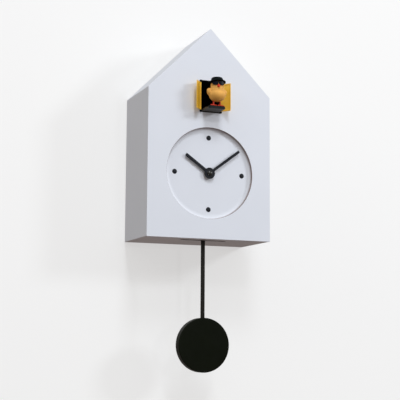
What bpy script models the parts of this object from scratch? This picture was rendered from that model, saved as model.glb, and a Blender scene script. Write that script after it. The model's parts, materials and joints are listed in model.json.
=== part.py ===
"""Wall cuckoo clock: a house-shaped case with a recessed dial, a bird that rides out through two doors,
a quartz movement and a free-swinging pendulum.

The frame is in metres. +Z is up, the clock faces -Y, and the wall is the plane y = 0. The origin is where
the axis of the hands meets the wall. It runs on its own in Blender 4.5.
"""

import math

import bmesh
import bpy
from mathutils import Matrix, Vector

# --- Driving dimensions ---------------------------------------------------------------------------------

# Case
WIDTH = 0.222
DEPTH = 0.115
BASE_Z = -0.111
EAVE_Z = 0.139
APEX_Z = EAVE_Z + WIDTH / 2  # the roof slopes at 45 degrees
FRONT_Y = -DEPTH
FRONT_THICK = 0.012
WALL_THICK = 0.010
BACK_THICK = 0.005
PANEL_BACK_Y = FRONT_Y + FRONT_THICK  # rear face of the front panel

# Clearances
GAP = 0.0003  # between pieces that touch
RUN = 0.0001  # between a pin and what turns on it

# Dial
DIAL_RADIUS = 0.0775
DIAL_DEPTH = 0.007
DISH_WIDE = 0.0090  # width of the curved edge of the dial's floor
DISH_RISE = 0.0032  # height that edge rises
DIAL_Y = FRONT_Y + DIAL_DEPTH
DOT_RING = 0.061
DOT_RADIUS = 0.00425
DOT_HEIGHT = 0.0014

# Hands: angles are clockwise from 12, seen from the front
MINUTE_ANGLE = math.radians(52.9)
HOUR_ANGLE = math.radians(305.1)
MINUTE_LENGTH = 0.068
HOUR_LENGTH = 0.052
MINUTE_WIDTH = 0.0047
HOUR_WIDTH = 0.0056
HUB_RADIUS = 0.0096
MINUTE_Y = -0.1131
HOUR_Y = -0.1119
HAND_THICK = 0.0005

# Doorway, its lining and the doors
DOORWAY_HALF = 0.0196
DOORWAY_Z = (0.1034, 0.1586)
LINER_WALL = 0.0008
LINER_REAR_Y = -0.008
LINER_HALF = DOORWAY_HALF - GAP - LINER_WALL  # half the width inside the tunnel
LUG_HALF = (0.0166, 0.0200)  # the hinge lugs, from their inner to their outer sides
HINGE_X = 0.0186
HINGE_Y = FRONT_Y - 0.0014
HINGE_PIN_RADIUS = 0.0006
BARREL_RADIUS = 0.0012
DOOR_Z = (0.1066, 0.1538)
DOOR_FACES = (-0.0006, 0.0008)  # outer and inner face of a closed door, behind its hinge axis
DOOR_LENGTH = 0.0182  # from the hinge axis to the meeting edge
DOOR_OPEN = math.radians(132.0)

# Bird and carriage: rest is fully out, and the carriage runs back by CARRIAGE_TRAVEL
BIRD_Y = -0.1443
HEAD_TURN = math.radians(10.0)  # the bird looks a little to its right
PERCH_Z = (0.1048, 0.1086)
PERCH_HALF = 0.0150
PERCH_FRONT_Y = -0.146
STAND_REAR_Y = -0.1335
STAND_LIP = 0.0032  # depth of the lip that covers the carriage's front edge
STAND_THICK = 0.0014
STAND_CORNER = 0.0035
CARRIAGE_REAR_Y = -0.060
CARRIAGE_TRAVEL = 0.053

# Rack drive
RACK_MODULE = 0.0008
DRIVE_TEETH = 12
DRIVE_Y = -0.063
RACK_PITCH_Z = PERCH_Z[0] + RACK_MODULE
DRIVE_Z = RACK_PITCH_Z - DRIVE_TEETH * RACK_MODULE / 2
RACK_BACKLASH = 0.00022

# Motion work: both gear pairs share the same centre distance
MOTION_CENTRES = 0.010
CANNON_TEETH = 12
MINUTE_WHEEL_TEETH = 36
MINUTE_PINION_TEETH = 10
HOUR_WHEEL_TEETH = 40
SETTING_TEETH = 18
CANNON_MODULE = 2 * MOTION_CENTRES / (CANNON_TEETH + MINUTE_WHEEL_TEETH)
HOUR_MODULE = 2 * MOTION_CENTRES / (MINUTE_PINION_TEETH + HOUR_WHEEL_TEETH)
SETTING_X = MOTION_CENTRES + CANNON_MODULE * (MINUTE_WHEEL_TEETH + SETTING_TEETH) / 2
MOTION_BACKLASH = 0.00012
PRESSURE_ANGLE = math.radians(20.0)

# Movement case
MOVEMENT_HALF = 0.028
MOVEMENT_Z = (-0.028, 0.056)
MOVEMENT_FRONT_Y = PANEL_BACK_Y + GAP
MOVEMENT_SPLIT_Y = -0.0960
MOVEMENT_REAR_Y = -0.0890
CASE_WALL = 0.0015
BUSH_RADIUS = 0.0049
BUSH_BORE = 0.0031
BUSH_END_Y = -0.1115

# Pendulum
PIVOT_Z = 0.040
PENDULUM_Y = -0.085
ROD_WIDTH = 0.007
ROD_THICK = 0.0018
ROD_TOP_Z = 0.024
BOB_RADIUS = 0.0452
BOB_THICK = 0.015
BOB_Y = -0.0857
BOB_Z = -0.286
BOB_EDGE = 0.0012
SLOT_HALF = 0.042
SLOT_RADIUS = 0.0055
MAGNET_Z = -0.017

# Back
ACCESS_HALF = 0.050
ACCESS_Z = (-0.093, -0.015)
COVER_LAP = 0.004
COVER_THICK = 0.0019
HANGER_Z = 0.176
HANGER_HALF = 0.021
HANGER_SCREW_X = 0.016

# Colour, roughness and metallic value of each finish
FINISHES = {
    "white_lacquer": ((0.70, 0.73, 0.79), 0.45, 0.0),
    "back_board": ((0.60, 0.61, 0.63), 0.70, 0.0),
    "black_metal": ((0.012, 0.012, 0.012), 0.45, 0.0),
    "black_plastic": ((0.010, 0.010, 0.011), 0.55, 0.0),
    "grey_plastic": ((0.060, 0.062, 0.066), 0.50, 0.0),
    "white_plastic": ((0.75, 0.75, 0.73), 0.45, 0.0),
    "yellow_paint": ((0.62, 0.36, 0.030), 0.45, 0.0),
    "bird_orange": ((0.80, 0.36, 0.075), 0.60, 0.0),
    "bird_black": ((0.008, 0.008, 0.009), 0.40, 0.0),
    "bird_red": ((0.45, 0.05, 0.03), 0.50, 0.0),
    "stand_black": ((0.014, 0.019, 0.019), 0.55, 0.0),
    "bob_black": ((0.010, 0.012, 0.007), 0.42, 0.0),
    "steel": ((0.56, 0.57, 0.58), 0.30, 1.0),
    "brass": ((0.78, 0.58, 0.25), 0.30, 1.0),
    "copper": ((0.72, 0.33, 0.16), 0.38, 1.0),
    "magnet_grey": ((0.09, 0.09, 0.10), 0.45, 0.6),
    "circuit_green": ((0.02, 0.16, 0.07), 0.45, 0.0),
    "battery_sleeve": ((0.05, 0.16, 0.38), 0.35, 0.0),
}

CIRCLE_STEPS = 32
FINE_STEPS = 64
PIN_STEPS = 12

# --- Scene ----------------------------------------------------------------------------------------------

for old in list(bpy.data.objects):
    bpy.data.objects.remove(old, do_unlink=True)

parts = bpy.data.collections.new("cuckoo_clock")
cutters = bpy.data.collections.new("cutters")
bpy.context.scene.collection.children.link(parts)
bpy.context.scene.collection.children.link(cutters)

# --- Modelling helpers ----------------------------------------------------------------------------------

# Rotation that turns a shape's own Z onto the named axis, with its X and Y left on the other two
TURNS = {
    "X": Matrix.Rotation(math.pi / 2, 4, "Z") @ Matrix.Rotation(math.pi / 2, 4, "X"),
    "Y": Matrix.Rotation(math.pi / 2, 4, "X"),
    "Z": Matrix.Identity(4),
}


def helper(name, mesh):
    """Adds a construction shape. It stays out of the model until piece() takes it in."""
    obj = bpy.data.objects.new(name, mesh)
    cutters.objects.link(obj)
    obj.hide_render = True
    obj.display_type = "WIRE"
    return obj


def piece(obj, finish):
    """Takes a construction shape into the model, with a material of its own."""
    cutters.objects.unlink(obj)
    parts.objects.link(obj)
    obj.hide_render = False
    obj.display_type = "TEXTURED"
    colour, roughness, metallic = FINISHES[finish]
    material = bpy.data.materials.new(obj.name + "_" + finish)
    material.use_nodes = True
    shader = material.node_tree.nodes["Principled BSDF"]
    shader.inputs["Base Color"].default_value = (*colour, 1.0)
    shader.inputs["Roughness"].default_value = roughness
    shader.inputs["Metallic"].default_value = metallic
    material.diffuse_color = (*colour, 1.0)
    obj.data.materials.clear()
    obj.data.materials.append(material)
    return obj


def boolean(obj, operation, tools):
    for tool in tools:
        modifier = obj.modifiers.new(tool.name, "BOOLEAN")
        modifier.operation = operation
        modifier.object = tool
        modifier.solver = "EXACT"
    return obj


def cut(obj, *tools):
    return boolean(obj, "DIFFERENCE", tools)


def fuse(obj, *tools):
    return boolean(obj, "UNION", tools)


def box(name, x, y, z):
    """A block between the two ends given for each axis."""
    mesh = bpy.data.meshes.new(name)
    shape = bmesh.new()
    bmesh.ops.create_cube(shape, size=1.0)
    size = Vector((x[1] - x[0], y[1] - y[0], z[1] - z[0]))
    middle = Vector((sum(x), sum(y), sum(z))) / 2
    bmesh.ops.scale(shape, vec=size, verts=shape.verts)
    bmesh.ops.translate(shape, vec=middle, verts=shape.verts)
    shape.to_mesh(mesh)
    shape.free()
    return helper(name, mesh)


def plate(name, across, outlines, span):
    """A flat outline, with holes where outlines nest, between two places along an axis.

    An outline is (x, z) across Y, (y, z) across X and (x, y) across Z.
    """
    curve = bpy.data.curves.new(name, "CURVE")
    curve.dimensions = "2D"
    curve.fill_mode = "BOTH"
    curve.extrude = abs(span[1] - span[0]) / 2
    for outline in outlines:
        spline = curve.splines.new("POLY")
        spline.points.add(len(outline) - 1)
        for point, (u, v) in zip(spline.points, outline):
            point.co = (u, v, 0.0, 1.0)
        spline.use_cyclic_u = True
    flat = bpy.data.objects.new(name + "_outline", curve)
    cutters.objects.link(flat)
    middle = {"X": Vector((1, 0, 0)), "Y": Vector((0, 1, 0)), "Z": Vector((0, 0, 1))}[across]
    flat.matrix_world = Matrix.Translation(middle * (span[0] + span[1]) / 2) @ TURNS[across]
    bpy.context.view_layer.update()
    graph = bpy.context.evaluated_depsgraph_get()
    mesh = bpy.data.meshes.new_from_object(flat.evaluated_get(graph))
    mesh.name = name
    shape = bmesh.new()
    shape.from_mesh(mesh)
    bmesh.ops.remove_doubles(shape, verts=shape.verts, dist=1e-6)
    bmesh.ops.recalc_face_normals(shape, faces=shape.faces)
    shape.to_mesh(mesh)
    shape.free()
    obj = helper(name, mesh)
    obj.matrix_world = flat.matrix_world
    bpy.data.objects.remove(flat, do_unlink=True)
    return obj


def turned(name, axis, centre, profile, steps=CIRCLE_STEPS, ring=False):
    """A turned shape. The profile's points are (radius, place along the axis from the centre).

    They run from the axis's far end to its near end down the outside, and a ring's profile closes on itself.
    """
    mesh = bpy.data.meshes.new(name)
    points = [(radius, 0.0, along) for radius, along in profile]
    edges = [(i, i + 1) for i in range(len(points) - 1)]
    if ring:
        edges.append((len(points) - 1, 0))
    mesh.from_pydata(points, edges, [])
    obj = helper(name, mesh)
    screw = obj.modifiers.new("turn", "SCREW")
    screw.steps = steps
    screw.render_steps = steps
    screw.use_merge_vertices = True
    screw.merge_threshold = 1e-5
    screw.use_smooth_shade = True
    tilt = {"X": Matrix.Rotation(math.pi / 2, 4, "Y"), "Y": Matrix.Rotation(-math.pi / 2, 4, "X")}
    obj.matrix_world = Matrix.Translation(Vector(centre)) @ tilt.get(axis, Matrix.Identity(4))
    return obj


def rod(name, axis, centre, radius, span, steps=CIRCLE_STEPS):
    """A plain cylinder. The span is measured along the axis from the centre."""
    low, high = span
    return turned(name, axis, centre, [(0, high), (radius, high), (radius, low), (0, low)], steps)


def tube(name, axis, centre, bore, radius, span, steps=CIRCLE_STEPS):
    low, high = span
    section = [(bore, high), (radius, high), (radius, low), (bore, low)]
    return turned(name, axis, centre, section, steps, ring=True)


def ellipsoid(name, centre, radii, rings=12, segments=20):
    mesh = bpy.data.meshes.new(name)
    shape = bmesh.new()
    bmesh.ops.create_uvsphere(shape, u_segments=segments, v_segments=rings, radius=1.0)
    bmesh.ops.scale(shape, vec=Vector(radii), verts=shape.verts)
    bmesh.ops.translate(shape, vec=Vector(centre), verts=shape.verts)
    shape.to_mesh(mesh)
    shape.free()
    return helper(name, mesh)


def arc(centre, radius, start, end, steps):
    """Points on an arc, from the start angle to the end angle in degrees, both ends included."""
    angles = [math.radians(start + (end - start) * i / steps) for i in range(steps + 1)]
    return [(centre[0] + radius * math.cos(a), centre[1] + radius * math.sin(a)) for a in angles]


def circle(centre, radius, steps=CIRCLE_STEPS):
    return arc(centre, radius, 0.0, 360.0, steps)[:-1]


def rectangle(u, v):
    return [(u[0], v[0]), (u[1], v[0]), (u[1], v[1]), (u[0], v[1])]


def rounded_rectangle(u, v, radius, steps=4):
    corners = ((u[1], v[0], -90.0), (u[1], v[1], 0.0), (u[0], v[1], 90.0), (u[0], v[0], 180.0))
    points = []
    for corner_u, corner_v, start in corners:
        centre_u = corner_u - math.copysign(radius, corner_u - sum(u) / 2)
        centre_v = corner_v - math.copysign(radius, corner_v - sum(v) / 2)
        points += arc((centre_u, centre_v), radius, start, start + 90.0, steps)
    return points


def gear(teeth, module, backlash, phase, centre=(0.0, 0.0)):
    """Outline of an involute gear with straight-sided teeth, one of them centred on the angle phase."""
    pitch = teeth * module / 2
    base = pitch * math.cos(PRESSURE_ANGLE)
    root, tip = pitch - 1.25 * module, pitch + module

    def half_tooth(radius):
        angle = math.acos(min(1.0, base / radius))
        roll = math.tan(PRESSURE_ANGLE) - PRESSURE_ANGLE - (math.tan(angle) - angle)
        return math.pi / (2 * teeth) - backlash / (2 * pitch) + roll

    points = []
    for i in range(teeth):
        middle = phase + 2 * math.pi * i / teeth
        for radius, turn in ((root, -half_tooth(base)), (tip, -half_tooth(tip)),
                             (tip, half_tooth(tip)), (root, half_tooth(base))):
            angle = middle + turn
            points.append((centre[0] + radius * math.cos(angle), centre[1] + radius * math.sin(angle)))
    return points


def joint(name, place, turn=0.0):
    """An empty on a joint's axis."""
    empty = bpy.data.objects.new(name, None)
    parts.objects.link(empty)
    empty.empty_display_size = 0.01
    empty.location = place
    empty.rotation_euler = (0.0, 0.0, turn)
    return empty


def carry(empty, *objects):
    """Parents objects to a joint's empty without moving them."""
    for obj in objects:
        obj.parent = empty
        obj.matrix_parent_inverse = Matrix.Translation(-empty.location)


# --- Case -----------------------------------------------------------------------------------------------


def house(inset):
    """The case's outline, moved in by an even amount. It starts at the lower left and runs to the right."""
    half = WIDTH / 2 - inset
    eave = EAVE_Z - inset * math.tan(math.radians(22.5))
    apex = APEX_Z - inset * math.sqrt(2)
    base = BASE_Z + inset
    return [(-half, base), (half, base), (half, eave), (0.0, apex), (-half, eave)]


def make_front_panel():
    doorway = rectangle((-DOORWAY_HALF, DOORWAY_HALF), DOORWAY_Z)
    bush_hole = circle((0.0, 0.0), BUSH_RADIUS + GAP)
    panel = plate("front_panel", "Y", [house(0.0), doorway, bush_hole], (FRONT_Y, PANEL_BACK_Y))
    beyond = 0.002
    edge = [(DIAL_RADIUS - DISH_WIDE * (1.0 - u), DIAL_Y - DISH_RISE * (1.0 - v))
            for u, v in arc((0.0, 0.0), 1.0, 90.0, 0.0, 6)]
    profile = [(0.0, DIAL_Y)] + edge + [(DIAL_RADIUS, FRONT_Y - beyond), (0.0, FRONT_Y - beyond)]
    recess = turned("dial_recess_cutter", "Y", (0, 0, 0), profile, FINE_STEPS)
    cut(panel, recess)
    piece(panel, "white_lacquer")


def make_wall_panels():
    """The five boards behind the front panel, mitred where they meet."""
    outer, inner = house(0.0), house(WALL_THICK)
    names = ("bottom_panel", "right_side_panel", "right_roof_panel", "left_roof_panel", "left_side_panel")
    boards = {}
    for i, name in enumerate(names):
        j = (i + 1) % len(outer)
        along = (Vector(outer[j]) - Vector(outer[i])).normalized() * GAP / 2
        corners = [Vector(outer[i]) + along, Vector(outer[j]) - along,
                   Vector(inner[j]) - along, Vector(inner[i]) + along]
        boards[name] = plate(name, "Y", [[tuple(c) for c in corners]], (PANEL_BACK_Y + GAP, 0.0))
    straight = SLOT_HALF - SLOT_RADIUS
    slot = (arc((straight, PENDULUM_Y), SLOT_RADIUS, -90.0, 90.0, 8)
            + arc((-straight, PENDULUM_Y), SLOT_RADIUS, 90.0, 270.0, 8))
    slot_cutter = plate("pendulum_slot_cutter", "Z", [slot], (BASE_Z - WALL_THICK, BASE_Z + 2 * WALL_THICK))
    cut(boards["bottom_panel"], slot_cutter)
    for board in boards.values():
        piece(board, "white_lacquer")


def make_back_panel():
    opening = rectangle((-ACCESS_HALF, ACCESS_HALF), ACCESS_Z)
    keyhole_room = rounded_rectangle((-0.008, 0.008), (HANGER_Z - 0.009, HANGER_Z + 0.009), 0.004)
    panel = plate("back_panel", "Y", [house(WALL_THICK + GAP), opening, keyhole_room], (-BACK_THICK, 0.0))
    beyond = 0.001
    lap_half = ACCESS_HALF + COVER_LAP
    lap_z = (ACCESS_Z[0] - COVER_LAP, ACCESS_Z[1] + COVER_LAP)
    rebate = box("cover_rebate_cutter", (-lap_half, lap_half), (-COVER_THICK - GAP, beyond), lap_z)
    seat = plate("hanger_seat_cutter", "Y", [hanger_outline(GAP)], (-0.0021, beyond))
    pilots = [rod(side + "_pilot_cutter", "Y", (x, 0, HANGER_Z), 0.0014, (-0.0100, beyond), PIN_STEPS)
              for side, x in (("left", -HANGER_SCREW_X), ("right", HANGER_SCREW_X))]
    cut(panel, rebate, seat, *pilots)
    piece(panel, "back_board")


def make_access_cover():
    half = ACCESS_HALF + COVER_LAP - GAP
    z = (ACCESS_Z[0] - COVER_LAP + GAP, ACCESS_Z[1] + COVER_LAP - GAP)
    cover = plate("access_cover", "Y", [rounded_rectangle((-half, half), z, 0.001)], (-COVER_THICK, 0.0))
    grip = rod("finger_grip_cutter", "Y", (0.0, 0.0, z[1] - 0.012), 0.007, (-0.0010, 0.001))
    cut(cover, grip)
    piece(cover, "white_plastic")
    carry(joint("access_cover_axis", (0.0, 0.0, sum(ACCESS_Z) / 2)), cover)


def hanger_outline(margin):
    half, tall = HANGER_HALF + margin, 0.012 + margin
    return rounded_rectangle((-half, half), (HANGER_Z - tall, HANGER_Z + tall), 0.004)


def make_hanger():
    """Steel plate whose keyhole hangs on the wall's screw head, and its two countersunk screws."""
    outer_y, thick = -0.0003, 0.0015
    head_radius, neck_half = 0.0045, 0.0022
    head_z, neck_z = HANGER_Z - 0.003, HANGER_Z + 0.0055
    side = math.degrees(math.asin(neck_half / head_radius))
    keyhole = (arc((0.0, head_z), head_radius, 90.0 + side, 450.0 - side, 20)
               + arc((0.0, neck_z), neck_half, 0.0, 180.0, 6))
    holes = [circle((x, HANGER_Z), 0.0017, PIN_STEPS) for x in (-HANGER_SCREW_X, HANGER_SCREW_X)]
    steel = plate("hanger_plate", "Y", [hanger_outline(0.0), keyhole] + holes, (outer_y - thick, outer_y))
    for side_name, x in (("left", -HANGER_SCREW_X), ("right", HANGER_SCREW_X)):
        sink = [(0.0, 0.0005), (0.0036, 0.0005), (0.0036, outer_y), (0.0014, -0.0018), (0.0, -0.0018)]
        cut(steel, turned(side_name + "_sink_cutter", "Y", (x, 0, HANGER_Z), sink, PIN_STEPS))
        shape = [(0.0, -0.0004), (0.0030, -0.0004), (0.0012, -0.0016), (0.0012, -0.0043), (0.0, -0.0048)]
        screw = turned(side_name + "_hanger_screw", "Y", (x, 0, HANGER_Z), shape, PIN_STEPS)
        piece(screw, "steel")
    piece(steel, "steel")


# --- Dial and hands -------------------------------------------------------------------------------------


def make_dots():
    for name, angle in (("dot_12", 90.0), ("dot_3", 0.0), ("dot_6", -90.0), ("dot_9", 180.0)):
        x, z = DOT_RING * math.cos(math.radians(angle)), DOT_RING * math.sin(math.radians(angle))
        dome = [(DOT_RADIUS * math.cos(t), -GAP - DOT_HEIGHT * math.sin(t)) for t in
                (0.0, math.pi / 8, math.pi / 4, 3 * math.pi / 8)]
        profile = [(0.0, -GAP)] + dome + [(0.0, -GAP - DOT_HEIGHT)]
        piece(turned(name, "Y", (x, DIAL_Y, z), profile, 24), "black_metal")


def hand(name, angle, length, width, hub_radius, bore, y):
    """A straight, square-ended hand in one piece with its round hub."""
    half = width / 2
    start = math.degrees(math.asin(half / hub_radius))
    outline = arc((0.0, 0.0), hub_radius, 90.0 + start, 450.0 - start, 24) + [(half, length), (-half, length)]
    turn = -angle
    c, s = math.cos(turn), math.sin(turn)
    points = [(u * c - v * s, u * s + v * c) for u, v in outline]
    return plate(name, "Y", [points, circle((0.0, 0.0), bore, 16)], (y - HAND_THICK / 2, y + HAND_THICK / 2))


def make_hands():
    hour = piece(hand("hour_hand", HOUR_ANGLE, HOUR_LENGTH, HOUR_WIDTH, 0.0070, 0.00275, HOUR_Y),
                 "black_metal")
    minute = hand("minute_hand", MINUTE_ANGLE, MINUTE_LENGTH, MINUTE_WIDTH, HUB_RADIUS, 0.0017, MINUTE_Y)
    piece(minute, "black_metal")
    profile = [(0.0, 0.0), (0.0047, 0.0), (0.0047, -0.0008), (0.0041, -0.0018), (0.0024, -0.0025),
               (0.0, -0.0028)]
    cap_y = MINUTE_Y - HAND_THICK / 2 - GAP - 0.0003
    cap = piece(turned("hand_cap", "Y", (0, cap_y, 0), profile, 24), "black_metal")
    return hour, minute, cap


# --- Movement -------------------------------------------------------------------------------------------

WHEEL_Y = (-0.0986, -0.0976)  # cannon pinion, minute wheel and setting pinion
HOUR_WHEEL_Y = (-0.1008, -0.0998)
FRONT_FLOOR_Y = MOVEMENT_FRONT_Y + CASE_WALL
REAR_FLOOR_Y = MOVEMENT_REAR_Y - CASE_WALL


def movement_outline(inset):
    return rounded_rectangle((-MOVEMENT_HALF + inset, MOVEMENT_HALF - inset),
                             (MOVEMENT_Z[0] + inset, MOVEMENT_Z[1] - inset), 0.004 - inset)


def make_movement_cases():
    front = plate("movement_front_case", "Y", [movement_outline(0.0)], (MOVEMENT_FRONT_Y, MOVEMENT_SPLIT_Y))
    room = plate("front_case_room_cutter", "Y", [movement_outline(CASE_WALL)],
                 (FRONT_FLOOR_Y, MOVEMENT_SPLIT_Y + 0.002))
    bush = rod("bush_shape", "Y", (0, 0, 0), BUSH_RADIUS, (BUSH_END_Y, FRONT_FLOOR_Y - 0.0005))
    bore = rod("bush_bore_cutter", "Y", (0, 0, 0), BUSH_BORE, (BUSH_END_Y - 0.002, FRONT_FLOOR_Y + 0.002))
    stud = rod("minute_wheel_stud_shape", "Y", (MOTION_CENTRES, 0, 0), 0.00075,
               (FRONT_FLOOR_Y - 0.0005, WHEEL_Y[1] + 0.0008), PIN_STEPS)
    cut(front, room)
    fuse(front, bush, stud)
    cut(front, bore)
    piece(front, "grey_plastic")

    rear = plate("movement_rear_case", "Y", [movement_outline(0.0)],
                 (MOVEMENT_SPLIT_Y + GAP, MOVEMENT_REAR_Y))
    room = plate("rear_case_room_cutter", "Y", [movement_outline(CASE_WALL)],
                 (MOVEMENT_SPLIT_Y - 0.002, REAR_FLOOR_Y))
    knob_hole = rod("knob_hole_cutter", "Y", (SETTING_X, 0, 0), 0.0015, (-0.095, -0.085), PIN_STEPS)
    pivot_hole = rod("pivot_hole_cutter", "Y", (0, 0, PIVOT_Z), 0.0012 + RUN, (-0.095, -0.085), PIN_STEPS)
    cut(rear, room, knob_hole, pivot_hole)
    piece(rear, "grey_plastic")


def make_bush_fixings():
    washer_y = DIAL_Y - GAP
    washer = tube("dial_washer", "Y", (0, 0, 0), BUSH_RADIUS + 0.0002, 0.0066, (washer_y - 0.0004, washer_y))
    piece(washer, "brass")
    nut_y = washer_y - 0.0004 - GAP
    flats = circle((0.0, 0.0), 0.0062, 6)
    nut = plate("dial_nut", "Y", [flats, circle((0.0, 0.0), BUSH_RADIUS + 0.0002, 24)],
                (nut_y - 0.0018, nut_y))
    piece(nut, "brass")


def make_motion_work(hour_hand, minute_hand, cap):
    arbor = rod("centre_arbor", "Y", (0, 0, 0), 0.0015, (MINUTE_Y - HAND_THICK / 2 - GAP, -0.0915), 16)
    cannon_teeth = gear(CANNON_TEETH, CANNON_MODULE, MOTION_BACKLASH, 0.0)
    cannon = plate("cannon_pinion_shape", "Y", [cannon_teeth], WHEEL_Y)
    fuse(arbor, cannon)
    piece(arbor, "steel")
    carry(joint("minute_axis", (0.0, MINUTE_Y, 0.0)), arbor, minute_hand, cap)

    pipe = tube("hour_wheel", "Y", (0, 0, 0), 0.0018, 0.0026,
                (HOUR_Y - HAND_THICK / 2 - 0.0001, HOUR_WHEEL_Y[1]), 24)
    disc = plate("hour_disc_shape", "Y",
                 [gear(HOUR_WHEEL_TEETH, HOUR_MODULE, MOTION_BACKLASH, math.pi / HOUR_WHEEL_TEETH),
                  circle((0.0, 0.0), 0.0022, 24)], HOUR_WHEEL_Y)
    fuse(pipe, disc)
    piece(pipe, "brass")
    carry(joint("hour_axis", (0.0, HOUR_Y, 0.0)), pipe, hour_hand)

    centre = (MOTION_CENTRES, 0.0)
    bore = circle(centre, 0.00075 + RUN, 16)
    wheel_teeth = gear(MINUTE_WHEEL_TEETH, CANNON_MODULE, MOTION_BACKLASH,
                       math.pi + math.pi / MINUTE_WHEEL_TEETH, centre)
    wheel = plate("minute_wheel", "Y", [wheel_teeth, bore], WHEEL_Y)
    pinion_teeth = gear(MINUTE_PINION_TEETH, HOUR_MODULE, MOTION_BACKLASH, math.pi, centre)
    pinion = plate("minute_pinion_shape", "Y", [pinion_teeth, bore], (HOUR_WHEEL_Y[0], WHEEL_Y[0] + 0.0004))
    fuse(wheel, pinion)
    piece(wheel, "brass")
    carry(joint("minute_wheel_axis", (MOTION_CENTRES, WHEEL_Y[0], 0.0)), wheel)


def make_setting_knob():
    knob_y = (-0.0884, -0.0834)
    grip = [(SETTING_X + (0.0060 if i % 2 else 0.0053) * math.cos(math.pi * i / 12),
             (0.0060 if i % 2 else 0.0053) * math.sin(math.pi * i / 12)) for i in range(24)]
    knob = plate("setting_knob", "Y", [grip], knob_y)
    arbor = rod("setting_arbor_shape", "Y", (SETTING_X, 0, 0), 0.0012, (-0.0996, knob_y[0] + 0.001),
                PIN_STEPS)
    teeth = gear(SETTING_TEETH, CANNON_MODULE, MOTION_BACKLASH, math.pi, (SETTING_X, 0.0))
    fuse(knob, arbor, plate("setting_pinion_shape", "Y", [teeth], WHEEL_Y))
    piece(knob, "black_plastic")
    carry(joint("setting_axis", (SETTING_X, knob_y[0], 0.0)), knob)


def make_step_motor():
    rotor_x, rotor_z, plate_y = -0.014, -0.008, (-0.0989, -0.0981)
    profile = [(0.0, -0.0950), (0.0005, -0.0950), (0.0005, -0.0972), (0.0028, -0.0972), (0.0028, -0.0998),
               (0.0005, -0.0998), (0.0005, -0.1008), (0.0, -0.1008)]
    rotor = piece(turned("rotor", "Y", (rotor_x, 0, rotor_z), profile, 16), "magnet_grey")
    carry(joint("rotor_axis", (rotor_x, plate_y[0], rotor_z)), rotor)
    leg_z = (-0.0227, -0.0203)
    window = rectangle((-0.0205, -0.0075), (leg_z[1], -0.0140))
    stator = plate("stator", "Y",
                   [rectangle((-0.0240, -0.0040), (leg_z[0], -0.0020)), window,
                    circle((rotor_x, rotor_z), 0.0034, 20)], plate_y)
    piece(stator, "steel")
    middle = (-0.014, sum(plate_y) / 2, sum(leg_z) / 2)
    coil = rod("motor_coil", "X", middle, 0.0021, (-0.0055, 0.0055), 20)
    slot = box("motor_coil_slot_cutter", (-0.022, -0.006), (plate_y[0] - GAP, plate_y[1] + GAP),
               (leg_z[0] - GAP, leg_z[1] + GAP))
    cut(coil, slot)
    piece(coil, "copper")


def make_circuit_board():
    board = box("circuit_board", (-0.0240, 0.0240), (-0.0992, -0.0982), (0.0160, 0.0530))
    chip = box("clock_chip_shape", (-0.0040, 0.0040), (-0.0984, -0.0970), (0.0300, 0.0380))
    crystal = rod("crystal_shape", "Z", (0.0150, -0.0972, 0.0), 0.0012, (0.0280, 0.0340), PIN_STEPS)
    fuse(board, chip, crystal)
    piece(board, "circuit_green")


# --- Pendulum -------------------------------------------------------------------------------------------


def make_pendulum():
    pin = turned("pivot_pin", "Y", (0, 0, PIVOT_Z),
                 [(0.0, -0.0795), (0.0022, -0.0795), (0.0022, -0.0805), (0.0012, -0.0805), (0.0012, -0.0912),
                  (0.0, -0.0912)], 16)
    piece(pin, "steel")

    plate_y = (PENDULUM_Y + ROD_THICK / 2 + GAP, -0.0812)
    peg_z = ROD_TOP_Z - 0.006
    half = 0.0045
    outline = arc((0.0, PIVOT_Z), half, 0.0, 180.0, 12) + arc((0.0, peg_z), half, 180.0, 360.0, 8)
    hanger = plate("pendulum_hanger", "Y", [outline], plate_y)
    boss = rod("hanger_boss_shape", "Y", (0, 0, PIVOT_Z), 0.0036, (-0.0885, plate_y[1] - 0.0005), 24)
    peg = rod("hanger_peg_shape", "Y", (0, 0, peg_z), 0.0014, (-0.0872, plate_y[1] - 0.0005), 16)
    bore = rod("hanger_bore_cutter", "Y", (0, 0, PIVOT_Z), 0.0013, (-0.092, -0.078), 16)
    fuse(hanger, boss, peg)
    cut(hanger, bore)
    piece(hanger, "white_plastic")

    rod_y = (PENDULUM_Y - ROD_THICK / 2, PENDULUM_Y + ROD_THICK / 2)
    half = ROD_WIDTH / 2
    foot_z = BOB_Z + BOB_RADIUS - 0.020
    outline = arc((0.0, ROD_TOP_Z - half), half, 0.0, 180.0, 8) + [(-half, foot_z), (half, foot_z)]
    bar = plate("pendulum_rod", "Y", [outline, circle((0.0, peg_z), 0.0015, 16)], rod_y)
    piece(bar, "black_metal")

    magnet = rod("pendulum_magnet", "Y", (0, 0, MAGNET_Z), 0.0050, (-0.0879, rod_y[0] - GAP), 20)
    piece(magnet, "magnet_grey")
    coil = tube("pendulum_coil", "Y", (0, 0, MAGNET_Z), 0.0020, 0.0070, (-0.0945, REAR_FLOOR_Y - GAP), 24)
    piece(coil, "copper")

    front, back, edge = -BOB_THICK / 2, BOB_THICK / 2, BOB_EDGE
    profile = ([(0.0, back)] + arc((BOB_RADIUS - edge, back - edge), edge, 90.0, 0.0, 2)
               + arc((BOB_RADIUS - edge, front + edge), edge, 0.0, -90.0, 2) + [(0.0, front)])
    bob = turned("pendulum_bob", "Y", (0, BOB_Y, BOB_Z), profile, FINE_STEPS)
    socket = box("bob_socket_cutter", (-half - GAP, half + GAP), (rod_y[0] - GAP, rod_y[1] + GAP),
                 (foot_z - GAP, BOB_Z + BOB_RADIUS + 0.005))
    cut(bob, socket)
    piece(bob, "bob_black")
    carry(joint("pendulum_axis", (0.0, PENDULUM_Y, PIVOT_Z)), hanger, bar, magnet, bob)


# --- Doorway and doors ----------------------------------------------------------------------------------


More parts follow.
